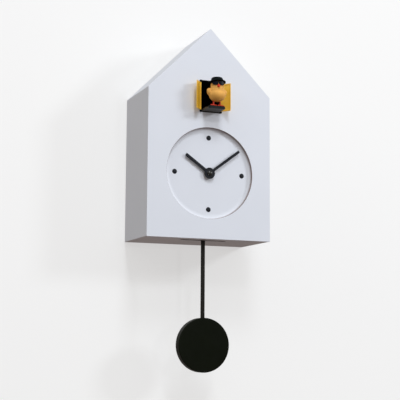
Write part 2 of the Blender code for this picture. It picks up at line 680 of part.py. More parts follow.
def make_doorway_liner():
    """A black tunnel behind the doorway. Small lugs at its front corners hold the ends of the hinge pins."""
    outer_half, outer_z = DOORWAY_HALF - GAP, (DOORWAY_Z[0] + GAP, DOORWAY_Z[1] - GAP)
    inner_z = (outer_z[0] + LINER_WALL, outer_z[1] - LINER_WALL)
    inner = rectangle((-LINER_HALF, LINER_HALF), inner_z)
    front_y = FRONT_Y + 0.0001
    liner = plate("doorway_liner", "Y", [rectangle((-outer_half, outer_half), outer_z), inner],
                  (front_y, LINER_REAR_Y))
    margin, bite = 0.005, 0.0004
    flange_outer = rectangle((-outer_half - margin, outer_half + margin),
                             (outer_z[0] - margin, outer_z[1] + margin))
    flange_inner = rectangle((-LINER_HALF - bite, LINER_HALF + bite), (inner_z[0] - bite, inner_z[1] + bite))
    flange = plate("liner_flange_shape", "Y", [flange_outer, flange_inner],
                   (PANEL_BACK_Y + GAP, PANEL_BACK_Y + GAP + 0.0015))
    lug_front_y = HINGE_Y - 0.0014
    lugs = []
    for side in (-1, 1):
        inside = sorted((side * LUG_HALF[0], side * outer_half))
        before = sorted((side * LUG_HALF[0], side * LUG_HALF[1]))
        for z in ((DOOR_Z[1] + GAP, outer_z[1]), (outer_z[0], DOOR_Z[0] - GAP)):
            lugs.append(box("lug_root_shape", inside, (lug_front_y, front_y + 0.0025), z))
            lugs.append(box("lug_head_shape", before, (lug_front_y, FRONT_Y - GAP), z))
    pin_holes = [rod("pin_hole_cutter", "Z", (side * HINGE_X, HINGE_Y, 0.0), HINGE_PIN_RADIUS + RUN,
                     (outer_z[0] - 0.002, outer_z[1] + 0.002), PIN_STEPS) for side in (-1, 1)]
    pinion_room = box("pinion_room_cutter", (-0.0036, 0.0036), (DRIVE_Y - 0.0070, DRIVE_Y + 0.0070),
                      (outer_z[0] - 0.002, inner_z[0] + 0.0002))
    fuse(liner, flange, *lugs)
    cut(liner, pinion_room, *pin_holes)
    piece(liner, "black_plastic")


def make_guide_rails():
    """L-shaped rails at both sides of the tunnel. Their lips lie over the carriage's edges."""
    wall, inside, lip = LINER_HALF - GAP, PERCH_HALF + 0.0004, PERCH_HALF - 0.0011
    low, shelf, top = PERCH_Z[0], PERCH_Z[1] + 0.0004, PERCH_Z[1] + 0.0015
    for name, side in (("left_guide_rail", -1), ("right_guide_rail", 1)):
        section = [(inside, low), (wall, low), (wall, top), (lip, top), (lip, shelf), (inside, shelf)]
        section = [(side * x, z) for x, z in section][::side]
        piece(plate(name, "Y", [section], (-0.1080, -0.0120)), "grey_plastic")


def make_doors():
    """Each door is drawn closed round its hinge axis, and the empty on that axis swings it open."""
    outer, inner = DOOR_FACES
    first, last = (math.degrees(math.asin(face / BARREL_RADIUS)) for face in (inner, outer))
    section = ([(DOOR_LENGTH, outer), (DOOR_LENGTH, inner)]
               + arc((0.0, 0.0), BARREL_RADIUS, first, 360.0 + last, 12))
    bore = circle((0.0, 0.0), HINGE_PIN_RADIUS + RUN, PIN_STEPS)
    for name, side in (("left", -1), ("right", 1)):
        outline = [(-side * u, v) for u, v in section]
        door = plate(name + "_door", "Z", [outline, bore], DOOR_Z)
        piece(door, "yellow_paint")
        door.parent = joint(name + "_door_axis", (side * HINGE_X, HINGE_Y, 0.0), side * DOOR_OPEN)
        pin = rod(name + "_hinge_pin", "Z", (side * HINGE_X, HINGE_Y, 0.0), HINGE_PIN_RADIUS,
                  (DOORWAY_Z[0] + 0.0006, DOORWAY_Z[1] - 0.0006), PIN_STEPS)
        piece(pin, "steel")


# --- Bird and its drive ---------------------------------------------------------------------------------

BRIM_Z = 0.1495
HAT_TOP_Z = 0.1571


def make_bird():
    body = ellipsoid("bird_body", (0.0, BIRD_Y, 0.1281), (0.0139, 0.0127, 0.0122))
    face_y = BIRD_Y - 0.0005
    head = ellipsoid("head_shape", (0.0, face_y, 0.1425), (0.0114, 0.0106, 0.0100), 10, 16)
    wings = [ellipsoid("wing_shape", (side * 0.0132, BIRD_Y + 0.0030, 0.1329), (0.0034, 0.0056, 0.0065),
                       8, 12) for side in (-1, 1)]
    flat_top = box("head_top_cutter", (-0.02, 0.02), (BIRD_Y - 0.02, BIRD_Y + 0.02), (BRIM_Z - GAP, 0.17))
    beak_centre, beak_radius = (0.0, BIRD_Y - 0.0090, 0.1408), 0.0026
    beak = turned("bird_beak", "Y", beak_centre,
                  [(0.0, 0.0), (beak_radius, 0.0), (beak_radius - 0.0003, -0.0024), (0.0, -0.0058)], 16)
    beak_pocket = rod("beak_pocket_cutter", "Y", beak_centre, beak_radius + GAP, (-0.006, GAP), 16)
    glasses = make_glasses(face_y)
    middle = Matrix.Translation((0.0, face_y, 0.0))
    turn = middle @ Matrix.Rotation(-HEAD_TURN, 4, "Z") @ middle.inverted()
    for shape in (beak, beak_pocket, glasses):
        shape.matrix_world = turn @ shape.matrix_world
    fuse(body, head, *wings)
    cut(body, flat_top, beak_pocket)
    brim, crown = 0.0147, 0.0100
    profile = [(0.0, HAT_TOP_Z), (crown - 0.0025, HAT_TOP_Z), (crown - 0.0006, HAT_TOP_Z - 0.0010),
               (crown, HAT_TOP_Z - 0.0030), (crown, BRIM_Z + 0.0016), (brim - 0.0006, BRIM_Z + 0.0013),
               (brim, BRIM_Z + 0.0007), (brim - 0.0005, BRIM_Z), (0.0, BRIM_Z)]
    hat = turned("bird_hat", "Z", (-0.0004, BIRD_Y, 0.0), profile, 24)
    pieces = [piece(body, "bird_orange"), piece(hat, "bird_black"),
              piece(glasses, "bird_black"), piece(beak, "bird_red")]
    return pieces + [make_leg("left_leg", -1), make_leg("right_leg", 1)]


def make_glasses(face_y):
    """Two oval lenses joined by a straight bridge, bent round the front of the head."""
    lens_x, lens_z, wide, tall, bridge = 0.0053, 0.1454, 0.0050, 0.0036, 0.0010
    tilt = math.degrees(math.asin(bridge / tall))
    outline = [(lens_x + wide * u, lens_z + tall * v)
               for u, v in arc((0.0, 0.0), 1.0, -180.0 + tilt, 180.0 - tilt, 16)]
    outline += [(-lens_x + wide * u, lens_z + tall * v)
                for u, v in arc((0.0, 0.0), 1.0, tilt, 360.0 - tilt, 16)]
    glasses = plate("bird_glasses", "Y", [outline], (face_y - 0.0130, face_y - 0.0030))
    inside, thick = 0.0111, 0.0012
    ends = (lens_z - 0.006, lens_z + 0.006)
    face = rod("glasses_inside_cutter", "Z", (0.0, face_y, 0.0), inside, ends, FINE_STEPS)
    front = tube("glasses_outside_cutter", "Z", (0.0, face_y, 0.0), inside + thick, 0.020, ends, FINE_STEPS)
    return cut(glasses, face, front)


def make_leg(name, side):
    """A straight leg with three splayed toes, which stands on the perch."""
    x, ankle_y, floor_z, hip_z = side * 0.0058, BIRD_Y + 0.0018, PERCH_Z[1] + GAP, 0.1163
    toe_half, toe_thick = 0.0009, 0.0016
    leg = rod(name, "Z", (x, ankle_y, 0.0), 0.0013, (floor_z, hip_z), PIN_STEPS)
    toes = []
    for spread, toe_length in ((-68.0 * side, 0.0044), (0.0, 0.0026), (68.0 * side, 0.0054)):
        a = math.radians(spread)
        ahead, across = Vector((math.sin(a), -math.cos(a))), Vector((math.cos(a), math.sin(a)))
        ankle = Vector((x, ankle_y))
        corners = [ankle - across * toe_half, ankle + ahead * toe_length - across * toe_half,
                   ankle + ahead * (toe_length + toe_half), ankle + ahead * toe_length + across * toe_half,
                   ankle + across * toe_half]
        toes.append(plate("toe_shape", "Z", [[tuple(c) for c in corners]], (floor_z, floor_z + toe_thick)))
    return piece(fuse(leg, *toes), "bird_red")


def rack_cutter():
    """A comb that leaves the rack's teeth in the carriage's underside."""
    pitch = math.pi * RACK_MODULE
    slope = math.tan(PRESSURE_ANGLE)
    low_z, high_z = PERCH_Z[0] - 0.0003, RACK_PITCH_Z + 1.25 * RACK_MODULE
    half_at_pitch = pitch / 4 + RACK_BACKLASH / 2
    wide = half_at_pitch + (RACK_PITCH_Z - low_z) * slope
    narrow = half_at_pitch - (high_z - RACK_PITCH_Z) * slope
    teeth_ahead = math.ceil(CARRIAGE_TRAVEL / pitch)
    points = [(DRIVE_Y - (teeth_ahead + 1) * pitch, low_z - 0.0005)]
    for i in range(-teeth_ahead, 2):
        middle = DRIVE_Y + i * pitch
        points += [(middle - wide, low_z), (middle - narrow, high_z),
                   (middle + narrow, high_z), (middle + wide, low_z)]
    points.append((DRIVE_Y + 2 * pitch, low_z - 0.0005))
    return plate("rack_cutter", "X", [points], (-0.0032, 0.0032))


def make_carriage(bird):
    """The carriage has the rack cut into its underside. Its thinner front end carries the bird's stand."""
    low_z, top_z = PERCH_Z
    edge_y = PERCH_FRONT_Y + STAND_LIP
    carriage = box("perch_platform", (-PERCH_HALF, PERCH_HALF), (edge_y, CARRIAGE_REAR_Y), PERCH_Z)
    step = box("stand_step_cutter", (-0.02, 0.02), (edge_y - 0.001, STAND_REAR_Y),
               (top_z - STAND_THICK - GAP, top_z + 0.001))
    cut(carriage, rack_cutter(), step)
    corner = STAND_CORNER
    outline = (arc((PERCH_HALF - corner, PERCH_FRONT_Y + corner), corner, -90.0, 0.0, 6)
               + [(PERCH_HALF, STAND_REAR_Y - GAP), (-PERCH_HALF, STAND_REAR_Y - GAP)]
               + arc((-PERCH_HALF + corner, PERCH_FRONT_Y + corner), corner, 180.0, 270.0, 6))
    stand = plate("bird_stand", "Z", [outline], PERCH_Z)
    cut(stand, box("stand_hollow_cutter", (-0.02, 0.02), (edge_y - GAP, STAND_REAR_Y + 0.001),
                   (low_z - 0.001, top_z - STAND_THICK)))
    piece(carriage, "grey_plastic")
    piece(stand, "stand_black")
    carry(joint("bird_slide_axis", (0.0, BIRD_Y, PERCH_Z[0])), carriage, stand, *bird)


def make_bird_drive():
    teeth = gear(DRIVE_TEETH, RACK_MODULE, RACK_BACKLASH, math.pi / 2, (DRIVE_Y, DRIVE_Z))
    pinion = plate("drive_pinion", "X", [teeth], (-0.0026, 0.0026))
    fuse(pinion, rod("drive_shaft_shape", "X", (0.0, DRIVE_Y, DRIVE_Z), 0.0010, (-0.0040, 0.0180), PIN_STEPS))
    piece(pinion, "brass")
    carry(joint("drive_axis", (0.0, DRIVE_Y, DRIVE_Z)), pinion)

    gearbox = box("slide_motor", (0.0060, 0.0300), (DRIVE_Y - 0.0110, DRIVE_Y + 0.0110), (0.0872, 0.1028))
    can = rod("motor_can_shape", "X", (0.0, DRIVE_Y, 0.0950), 0.0075, (0.0290, 0.0500), 24)
    bore = rod("shaft_bore_cutter", "X", (0.0, DRIVE_Y, DRIVE_Z), 0.0010 + RUN, (0.0040, 0.0190), PIN_STEPS)
    fuse(gearbox, can)
    cut(gearbox, bore)
    piece(gearbox, "grey_plastic")


# --- Sound and power ------------------------------------------------------------------------------------


def make_sound():
    wall = WIDTH / 2 - WALL_THICK - GAP
    board = box("sound_board", (-wall, -wall + 0.0016), (-0.075, -0.035), (0.010, 0.060))
    chip = box("sound_chip_shape", (-wall + 0.0010, -wall + 0.0040), (-0.060, -0.050), (0.030, 0.044))
    capacitor = rod("capacitor_shape", "X", (0.0, -0.045, 0.022), 0.0040,
                    (-wall + 0.0010, -wall + 0.0100), 16)
    piece(fuse(board, chip, capacitor), "circuit_green")

    face, rim, basket = 0.0, -0.0020, -0.0120
    profile = [(0.0, face), (0.0250, face), (0.0250, rim), (0.0235, rim), (0.0140, basket), (0.0140, -0.0180),
               (0.0, -0.0180)]
    speaker = turned("speaker", "X", (wall, -0.050, 0.060), profile, 28)
    piece(speaker, "black_plastic")


def make_power():
    cell_radius, cell_half, cell_y, pitch = 0.0071, 0.0250, -0.0165, 0.0163
    lowest_z = -0.0857
    floor_z = BASE_Z + WALL_THICK + GAP
    holder = box("battery_holder", (-0.0310, 0.0310), (-0.0280, -0.0060), (floor_z, -0.0440))
    bay = box("battery_bay_cutter", (-0.0295, 0.0295), (-0.0265, -0.0040), (lowest_z - 0.0080, -0.0455))
    piece(cut(holder, bay), "black_plastic")
    for i in range(3):
        z = lowest_z + i * pitch
        nub, nub_length = 0.0027, 0.0012
        profile = [(0.0, cell_half + nub_length), (nub, cell_half + nub_length), (nub, cell_half),
                   (cell_radius, cell_half), (cell_radius, -cell_half), (0.0, -cell_half)]
        cell = turned("battery_%d" % (i + 1), "X", (0.0, cell_y, z), profile, 20)
        piece(cell, "battery_sleeve")


# --- Build ----------------------------------------------------------------------------------------------

make_front_panel()
make_wall_panels()
make_back_panel()
make_access_cover()
make_hanger()
make_dots()
make_motion_work(*make_hands())
make_movement_cases()
make_bush_fixings()
make_setting_knob()
make_step_motor()
make_circuit_board()
make_pendulum()
make_doorway_liner()
make_guide_rails()
make_doors()
make_carriage(make_bird())
make_bird_drive()
make_sound()
make_power()

for obj in parts.objects:
    if obj.type == "MESH" and obj.data.polygons:
        obj.data.shade_smooth()
        obj.data.set_sharp_from_angle(angle=math.radians(35.0))
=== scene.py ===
import json
import math

import bmesh
import bpy
from mathutils import Matrix, Vector


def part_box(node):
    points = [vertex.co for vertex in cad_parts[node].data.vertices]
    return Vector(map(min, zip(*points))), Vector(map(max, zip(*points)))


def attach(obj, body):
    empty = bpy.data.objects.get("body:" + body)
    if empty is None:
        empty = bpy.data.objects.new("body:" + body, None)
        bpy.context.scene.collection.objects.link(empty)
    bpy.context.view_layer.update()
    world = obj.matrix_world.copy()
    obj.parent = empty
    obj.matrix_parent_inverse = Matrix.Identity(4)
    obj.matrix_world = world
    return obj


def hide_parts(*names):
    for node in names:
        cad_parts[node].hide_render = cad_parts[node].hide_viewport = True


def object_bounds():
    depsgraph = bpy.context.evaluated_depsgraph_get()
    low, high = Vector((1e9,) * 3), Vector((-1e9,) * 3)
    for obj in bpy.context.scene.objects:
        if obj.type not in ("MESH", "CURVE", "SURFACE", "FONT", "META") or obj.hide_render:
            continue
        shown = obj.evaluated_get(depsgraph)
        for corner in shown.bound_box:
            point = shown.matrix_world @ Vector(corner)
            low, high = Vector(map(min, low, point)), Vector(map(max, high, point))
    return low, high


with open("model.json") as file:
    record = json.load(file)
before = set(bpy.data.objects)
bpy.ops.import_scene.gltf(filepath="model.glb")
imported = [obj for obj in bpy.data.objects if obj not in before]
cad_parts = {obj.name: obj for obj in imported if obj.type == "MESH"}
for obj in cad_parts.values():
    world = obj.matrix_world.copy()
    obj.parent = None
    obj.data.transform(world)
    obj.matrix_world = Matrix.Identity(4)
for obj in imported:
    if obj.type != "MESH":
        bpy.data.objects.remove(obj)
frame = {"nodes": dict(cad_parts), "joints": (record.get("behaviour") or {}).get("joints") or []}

# Looks of the house-shaped cuckoo clock. Sizes are in metres, in the model's frame: +Z up, the clock faces
# -Y, its back is at y = 0 and the hands turn about the Y axis.

cad_low, cad_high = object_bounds()
nodes = frame["nodes"]
scene = bpy.context.scene
scene.view_settings.view_transform = "Standard"

# --- Places read from the frame -----------------------------------------------------------------------------


def span(node, axis):
    """The lowest and highest place of a CAD node along an axis."""
    low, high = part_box(node)
    return low["xyz".index(axis)], high["xyz".index(axis)]


def middle(node):
    low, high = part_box(node)
    return (Vector(low) + Vector(high)) / 2


def joint_place(name):
    return Vector(next(j for j in frame["joints"] if j["name"] == name)["pos_m"])


GAP = 0.0003  # between CAD pieces that touch on the real object
HALF_GAP = GAP / 2
FRONT_Y, PANEL_BACK_Y = span("front_panel", "y")
HALF_WIDTH = span("front_panel", "x")[1]
BASE_Z, APEX_Z = span("front_panel", "z")
EAVE_Z = APEX_Z - HALF_WIDTH
ROOF_SLOPE = math.radians(45.0)
WALL_THICK = span("bottom_panel", "z")[1] - BASE_Z
DIAL_Y = span("dot_3", "y")[1] + GAP
DIAL_RADIUS = 0.0775
DISH_WIDE = 0.0090  # curved edge of the dial's floor
DISH_RISE = 0.0032
BUSH_HOLE = 0.0052
LINER_FLANGE = 0.0047  # how far the doorway's lining reaches past the opening
DOORWAY_HALF = span("doorway_liner", "x")[1] - LINER_FLANGE
DOORWAY_Z = (span("doorway_liner", "z")[0] + LINER_FLANGE, span("doorway_liner", "z")[1] - LINER_FLANGE)
CASE_ROUND = 0.0009
PIVOT = joint_place("pendulum_swing")
SLOT_HALF = 0.042
SLOT_RADIUS = 0.0055
SLOT_EDGE = 0.0004

# --- Mesh helpers -------------------------------------------------------------------------------------------

WELD_DISTANCE = 1e-6
AXIS_MERGE = 1e-5  # points this close to a turning axis become one
ON_PLANE = 1e-5
FLAT_DEGREES = 0.5  # neighbouring faces that differ by less become one
LARGE_ROUND = 256  # segments of the dial and the bob
SMALL_ROUND = 48  # segments of dots, bores and the beak
BOARD_ANGLE = 60.0  # edges sharper than this are rounded on boards
PART_ANGLE = 50.0  # and on smaller pieces
FLAT_SHADE_ANGLE = 32.0  # edges sharper than this stay sharp on shapes with flat faces
DOME_SHADE_ANGLE = 50.0  # on dots and caps
ROUND_SHADE_ANGLE = 60.0  # and on the bird

# Rotation that lays a flat outline's own X and Y on the two axes other than the named one
OUTLINE_TURNS = {"Y": Matrix.Rotation(math.pi / 2, 4, "X"), "Z": Matrix.Identity(4)}
# Rotation that turns a profile's own Z onto the named axis
PROFILE_TURNS = {"Y": Matrix.Rotation(-math.pi / 2, 4, "X"), "Z": Matrix.Identity(4)}
AXES = {"Y": Vector((0, 1, 0)), "Z": Vector((0, 0, 1))}


def add(name, data):
    obj = bpy.data.objects.new(name, data)
    scene.collection.objects.link(obj)
    return obj


def evaluated_mesh(obj):
    """The object's mesh with its modifiers applied, in the model's frame."""
    bpy.context.view_layer.update()
    graph = bpy.context.evaluated_depsgraph_get()
    mesh = bpy.data.meshes.new_from_object(obj.evaluated_get(graph))
    mesh.transform(obj.matrix_world)
    return mesh


def settled(obj):
    """Replaces an object with a plain mesh of the same shape."""
    name = obj.name
    mesh = evaluated_mesh(obj)
    bpy.data.objects.remove(obj, do_unlink=True)
    mesh.name = name
    return add(name, mesh)


def reshape(obj, *steps):
    """Runs bmesh steps on an object's mesh."""
    shape = bmesh.new()
    shape.from_mesh(obj.data)
    for step in steps:
        step(shape)
    shape.to_mesh(obj.data)
    shape.free()
    obj.data.update()
    return obj


def weld(shape):
    bmesh.ops.remove_doubles(shape, verts=shape.verts, dist=WELD_DISTANCE)
    bmesh.ops.recalc_face_normals(shape, faces=shape.faces)


def plate(name, across, outlines, ends):
    """A flat outline, with holes where outlines nest, between two places along an axis."""
    curve = bpy.data.curves.new(name, "CURVE")
    curve.dimensions = "2D"
    curve.fill_mode = "BOTH"
    curve.extrude = abs(ends[1] - ends[0]) / 2
    for outline in outlines:
        spline = curve.splines.new("POLY")
        spline.points.add(len(outline) - 1)
        for point, (u, v) in zip(spline.points, outline):
            point.co = (u, v, 0.0, 1.0)
        spline.use_cyclic_u = True
    flat = add(name, curve)
    flat.matrix_world = Matrix.Translation(AXES[across] * sum(ends) / 2) @ OUTLINE_TURNS[across]
    return reshape(settled(flat), weld)


def turned(name, axis, centre, profile, steps):
    """A turned shape. Its profile is a chain of (radius, place along the axis), far end first."""
    mesh = bpy.data.meshes.new(name)
    points = [(radius, 0.0, along) for radius, along in profile]
    mesh.from_pydata(points, [(i, i + 1) for i in range(len(points) - 1)], [])
    obj = add(name, mesh)
    screw = obj.modifiers.new("turn", "SCREW")
    screw.steps = screw.render_steps = steps
    screw.use_merge_vertices = True
    screw.merge_threshold = AXIS_MERGE
    obj.matrix_world = Matrix.Translation(Vector(centre)) @ PROFILE_TURNS[axis]
    return reshape(settled(obj), weld)


def block(name, x, y, z):
    return plate(name, "Z", [[(x[0], y[0]), (x[1], y[0]), (x[1], y[1]), (x[0], y[1])]], z)


def arc(centre, radius, start, end, steps):
    """Points on an arc, from the start angle to the end angle in degrees, both ends included."""
    angles = [math.radians(start + (end - start) * i / steps) for i in range(steps + 1)]
    return [(centre[0] + radius * math.cos(a), centre[1] + radius * math.sin(a)) for a in angles]


def circle(centre, radius, steps):
    return arc(centre, radius, 0.0, 360.0, steps)[:-1]


def boolean(obj, operation, *tools):
    for tool in tools:
        modifier = obj.modifiers.new(tool.name, "BOOLEAN")
        modifier.operation = operation
        modifier.object = tool
        modifier.solver = "EXACT"
    result = settled(obj)
    for tool in tools:
        bpy.data.objects.remove(tool, do_unlink=True)
    return reshape(result, weld)


def ease_edges(obj, width, segments, angle, chosen=lambda edge: True):
    """Rounds the edges that chosen() picks among those sharper than an angle in degrees."""

    def tidy_then_bevel(shape):
        bmesh.ops.dissolve_limit(shape, angle_limit=math.radians(FLAT_DEGREES), verts=shape.verts,
                                 edges=shape.edges)
        sharp = [e for e in shape.edges if len(e.link_faces) == 2
                 and e.calc_face_angle(0.0) > math.radians(angle) and chosen(e)]
        bmesh.ops.bevel(shape, geom=sharp, offset=width, segments=segments, profile=0.5, affect="EDGES",
                        clamp_overlap=True)

    return reshape(obj, tidy_then_bevel)


def smooth(obj):
    """Smooth shading with sharp edges kept, and flat faces that stay flat beside rounded edges."""
    smooth_all_round(obj, FLAT_SHADE_ANGLE)
    normals = obj.modifiers.new("normals", "WEIGHTED_NORMAL")
    normals.keep_sharp = True
    normals.weight = 100
    return obj


def smooth_all_round(obj, angle):
    """Smooth shading for a shape without flat faces. Edges sharper than an angle in degrees are kept."""
    obj.data.shade_smooth()
    obj.data.set_sharp_from_angle(angle=math.radians(angle))
    return obj


def paint(obj, material):
    obj.data.materials.clear()
    obj.data.materials.append(material)


def finish_piece(obj, body, material, slot, *replaced):
    paint(obj, material)
    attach(obj, body)
    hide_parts(*replaced)
    return obj


# --- Materials ----------------------------------------------------------------------------------------------

PATTERN_LOW, PATTERN_HIGH = 0.3, 0.7  # most of a noise pattern's values lie between these


def principled(name, colour, roughness, metallic=0.0, **constants):
    material = bpy.data.materials.new(name)
    material.use_nodes = True
    shader = material.node_tree.nodes["Principled BSDF"]
    shader.inputs["Base Color"].default_value = (*colour, 1.0)
    shader.inputs["Roughness"].default_value = roughness
    shader.inputs["Metallic"].default_value = metallic
    for socket, value in constants.items():
        shader.inputs[socket.replace("_", " ")].default_value = value
    return material, shader


def noise(material, scale, detail, stretch=(1.0, 1.0, 1.0)):
    """A noise pattern fixed to the object, in its own metres."""
    tree = material.node_tree
    place = tree.nodes.new("ShaderNodeTexCoord")
    mapping = tree.nodes.new("ShaderNodeMapping")
    mapping.inputs["Scale"].default_value = stretch
    pattern = tree.nodes.new("ShaderNodeTexNoise")
    pattern.inputs["Scale"].default_value = scale
    pattern.inputs["Detail"].default_value = detail
    tree.links.new(place.outputs["Object"], mapping.inputs["Vector"])
    tree.links.new(mapping.outputs["Vector"], pattern.inputs["Vector"])
    return pattern


def vary_colour(material, shader, pattern, dark, light):
    tree = material.node_tree
    ramp = tree.nodes.new("ShaderNodeValToRGB")
    low, high = ramp.color_ramp.elements
    low.position, high.position = PATTERN_LOW, PATTERN_HIGH
    low.color, high.color = (*dark, 1.0), (*light, 1.0)
    tree.links.new(pattern.outputs["Fac"], ramp.inputs["Fac"])
    tree.links.new(ramp.outputs["Color"], shader.inputs["Base Color"])


def vary_roughness(material, shader, pattern, low, high):
    tree = material.node_tree
    spread = tree.nodes.new("ShaderNodeMapRange")
    spread.inputs["From Min"].default_value = PATTERN_LOW
    spread.inputs["From Max"].default_value = PATTERN_HIGH
    spread.inputs["To Min"].default_value = low
    spread.inputs["To Max"].default_value = high
    tree.links.new(pattern.outputs["Fac"], spread.inputs["Value"])
    tree.links.new(spread.outputs["Result"], shader.inputs["Roughness"])


def bump(material, shader, pattern, height):
    tree = material.node_tree
    relief = tree.nodes.new("ShaderNodeBump")
    relief.inputs["Distance"].default_value = height
    tree.links.new(pattern.outputs["Fac"], relief.inputs["Height"])
    tree.links.new(relief.outputs["Normal"], shader.inputs["Normal"])


def scaled(colour, factor):
    return tuple(channel * factor for channel in colour)


def coated(name, colour, roughness, grain, relief, tone, blotch=40.0, **constants):
    """Paint, lacquer or moulded plastic: an even colour with faint blotches and a fine surface texture.

    The grain and the blotches are pattern scales, the relief is the texture's height and the tone is how far
    the colour strays.
    """
    spread = 0.04  # how far the roughness strays
    material, shader = principled(name, colour, roughness, **constants)
    blotches = noise(material, blotch, detail=2.0)
    vary_colour(material, shader, blotches, scaled(colour, 1.0 - tone), scaled(colour, 1.0 + tone))
    patches = noise(material, blotch * 3.0, detail=3.0)
    vary_roughness(material, shader, patches, roughness - spread, roughness + spread)
    bump(material, shader, noise(material, grain, detail=2.0), relief)
    return material


def axis_part(tree, place, axis):
    split = tree.nodes.new("ShaderNodeSeparateXYZ")
    tree.links.new(place.outputs["Object"], split.inputs["Vector"])
    return split.outputs[axis]


def product(tree, first, second):
    both = tree.nodes.new("ShaderNodeMath")
    both.operation = "MULTIPLY"
    tree.links.new(first, both.inputs[0])
    tree.links.new(second, both.inputs[1])
    return both.outputs["Value"]


def within(tree, value, centre, reach):
    """1 where a value lies within reach of a centre, and 0 elsewhere."""
    test = tree.nodes.new("ShaderNodeMath")
    test.operation = "COMPARE"
    tree.links.new(value, test.inputs[0])
    test.inputs[1].default_value = centre
    test.inputs[2].default_value = reach
    return test.outputs["Value"]


def tinted(material, mask, colour):
    """Lays another colour over a material's own where the mask is 1."""
    tree = material.node_tree
    target = tree.nodes["Principled BSDF"].inputs["Base Color"]
    mix = tree.nodes.new("ShaderNodeMixRGB")
    tree.links.new(target.links[0].from_socket, mix.inputs["Color1"])
    mix.inputs["Color2"].default_value = (*colour, 1.0)
    tree.links.new(mask, mix.inputs["Fac"])
    tree.links.new(mix.outputs["Color"], target)
    return material


def shaded_dial_lacquer():
    """The case's lacquer, with painted shade round the dial: a darker, browner tint on the recess's wall that
    fades out down its curved edge.
    """
    shade_start = 0.0010  # height above the dial's floor where the painted shade fades out
    margin = 0.0003
    material = coated("shaded_dial_lacquer", LACQUER, **LACQUER_COAT)
    tree = material.node_tree
    place = tree.nodes.new("ShaderNodeTexCoord")
    flat = tree.nodes.new("ShaderNodeVectorMath")
    flat.operation = "MULTIPLY"
    flat.inputs[1].default_value = (1.0, 0.0, 1.0)
    length = tree.nodes.new("ShaderNodeVectorMath")
    length.operation = "LENGTH"
    tree.links.new(place.outputs["Object"], flat.inputs[0])
    tree.links.new(flat.outputs["Vector"], length.inputs[0])
    depth = tree.nodes.new("ShaderNodeMapRange")
    depth.inputs["From Min"].default_value = DIAL_Y - shade_start
    depth.inputs["From Max"].default_value = DIAL_Y - DISH_RISE
    tree.links.new(axis_part(tree, place, "Y"), depth.inputs["Value"])
    inside = within(tree, length.outputs["Value"], 0.0, DIAL_RADIUS + margin)
    return tinted(material, product(tree, depth.outputs["Result"], inside), DIAL_WALL_SHADE)


def shaded_slot_lacquer():
    """The case's lacquer, with painted shade on the sides of the pendulum's slot: near-black, where the
    case's dark inside shows through.
    """
    material = coated("shaded_slot_lacquer", LACQUER, **LACQUER_COAT)
    tree = material.node_tree
    place = tree.nodes.new("ShaderNodeTexCoord")
    mask = within(tree, axis_part(tree, place, "X"), 0.0, SLOT_HALF + SLOT_EDGE)
    for axis, centre, reach in (("Y", PIVOT.y, SLOT_RADIUS + SLOT_EDGE),
                                ("Z", BASE_Z + WALL_THICK, WALL_THICK - SLOT_EDGE)):
        mask = product(tree, mask, within(tree, axis_part(tree, place, axis), centre, reach))
    return tinted(material, mask, SLOT_SHADE)


def metal(name, colour, roughness, stretch, grain=900.0):
    """Bare metal with fine working marks along one direction."""
    dark, light = 0.9, 1.05
    smoother, rougher = 0.06, 0.1
    relief = 0.000008
    material, shader = principled(name, colour, roughness, metallic=1.0)
    marks = noise(material, grain, detail=4.0, stretch=stretch)
    vary_colour(material, shader, marks, scaled(colour, dark), scaled(colour, light))
    vary_roughness(material, shader, marks, roughness - smoother, roughness + rougher)
    bump(material, shader, marks, relief)
    return material


def fibreboard(name, colour):
    """Painted board whose fibres show as a fine, cloudy texture."""
    cloud, patch, fibre = 160.0, 60.0, 2200.0  # pattern scales
    fibre_stretch = (1.0, 1.0, 0.4)
    dark, light = 0.86, 1.04
    low, typical, high = 0.62, 0.7, 0.8  # roughness
    relief = 0.00005
    material, shader = principled(name, colour, typical)
    clouds = noise(material, cloud, detail=6.0)
    vary_colour(material, shader, clouds, scaled(colour, dark), scaled(colour, light))
    vary_roughness(material, shader, noise(material, patch, detail=3.0), low, high)
    bump(material, shader, noise(material, fibre, detail=3.0, stretch=fibre_stretch), relief)
    return material


LACQUER = (0.765, 0.800, 0.878)
LACQUER_COAT = {"roughness": 0.42, "grain": 1100.0, "relief": 0.000012, "tone": 0.012, "blotch": 9.0}
DIAL_WALL_SHADE = (0.24, 0.185, 0.175)  # painted shade on the wall round the dial
# painted shade on the sides of the pendulum's slot
SLOT_SHADE = (0.016, 0.014, 0.015)
WHITE_LACQUER = coated("white_lacquer", LACQUER, **LACQUER_COAT)
SHADED_DIAL_LACQUER = shaded_dial_lacquer()
SHADED_SLOT_LACQUER = shaded_slot_lacquer()
BACK_BOARD = fibreboard("back_board", (0.52, 0.51, 0.50))
HAND_BLACK = coated("hand_black", (0.0085, 0.0100, 0.0150), 0.40, grain=2600.0, relief=0.00001, tone=0.08,
                    Specular_IOR_Level=0.2)
CAP_BLACK = coated("cap_black", (0.0100, 0.0095, 0.0080), 0.24, grain=2600.0, relief=0.00001, tone=0.08,
                   Specular_IOR_Level=0.6)
ROD_BLACK = coated("rod_black", (0.0085, 0.0078, 0.0050), 0.38, grain=2400.0, relief=0.00001, tone=0.10,
                   blotch=60.0, Specular_IOR_Level=0.2)
BOB_BLACK = coated("bob_black", (0.0034, 0.0050, 0.0018), 0.34, grain=1600.0, relief=0.00001, tone=0.10,
                   blotch=30.0, Specular_IOR_Level=0.09)
LINER_BLACK = coated("liner_black", (0.0022, 0.0026, 0.0038), 0.6, grain=1500.0, relief=0.00003, tone=0.15,
                     Specular_IOR_Level=0.1)
BLACK_PLASTIC = coated("black_plastic", (0.011, 0.011, 0.012), 0.5, grain=1500.0, relief=0.00003, tone=0.10)
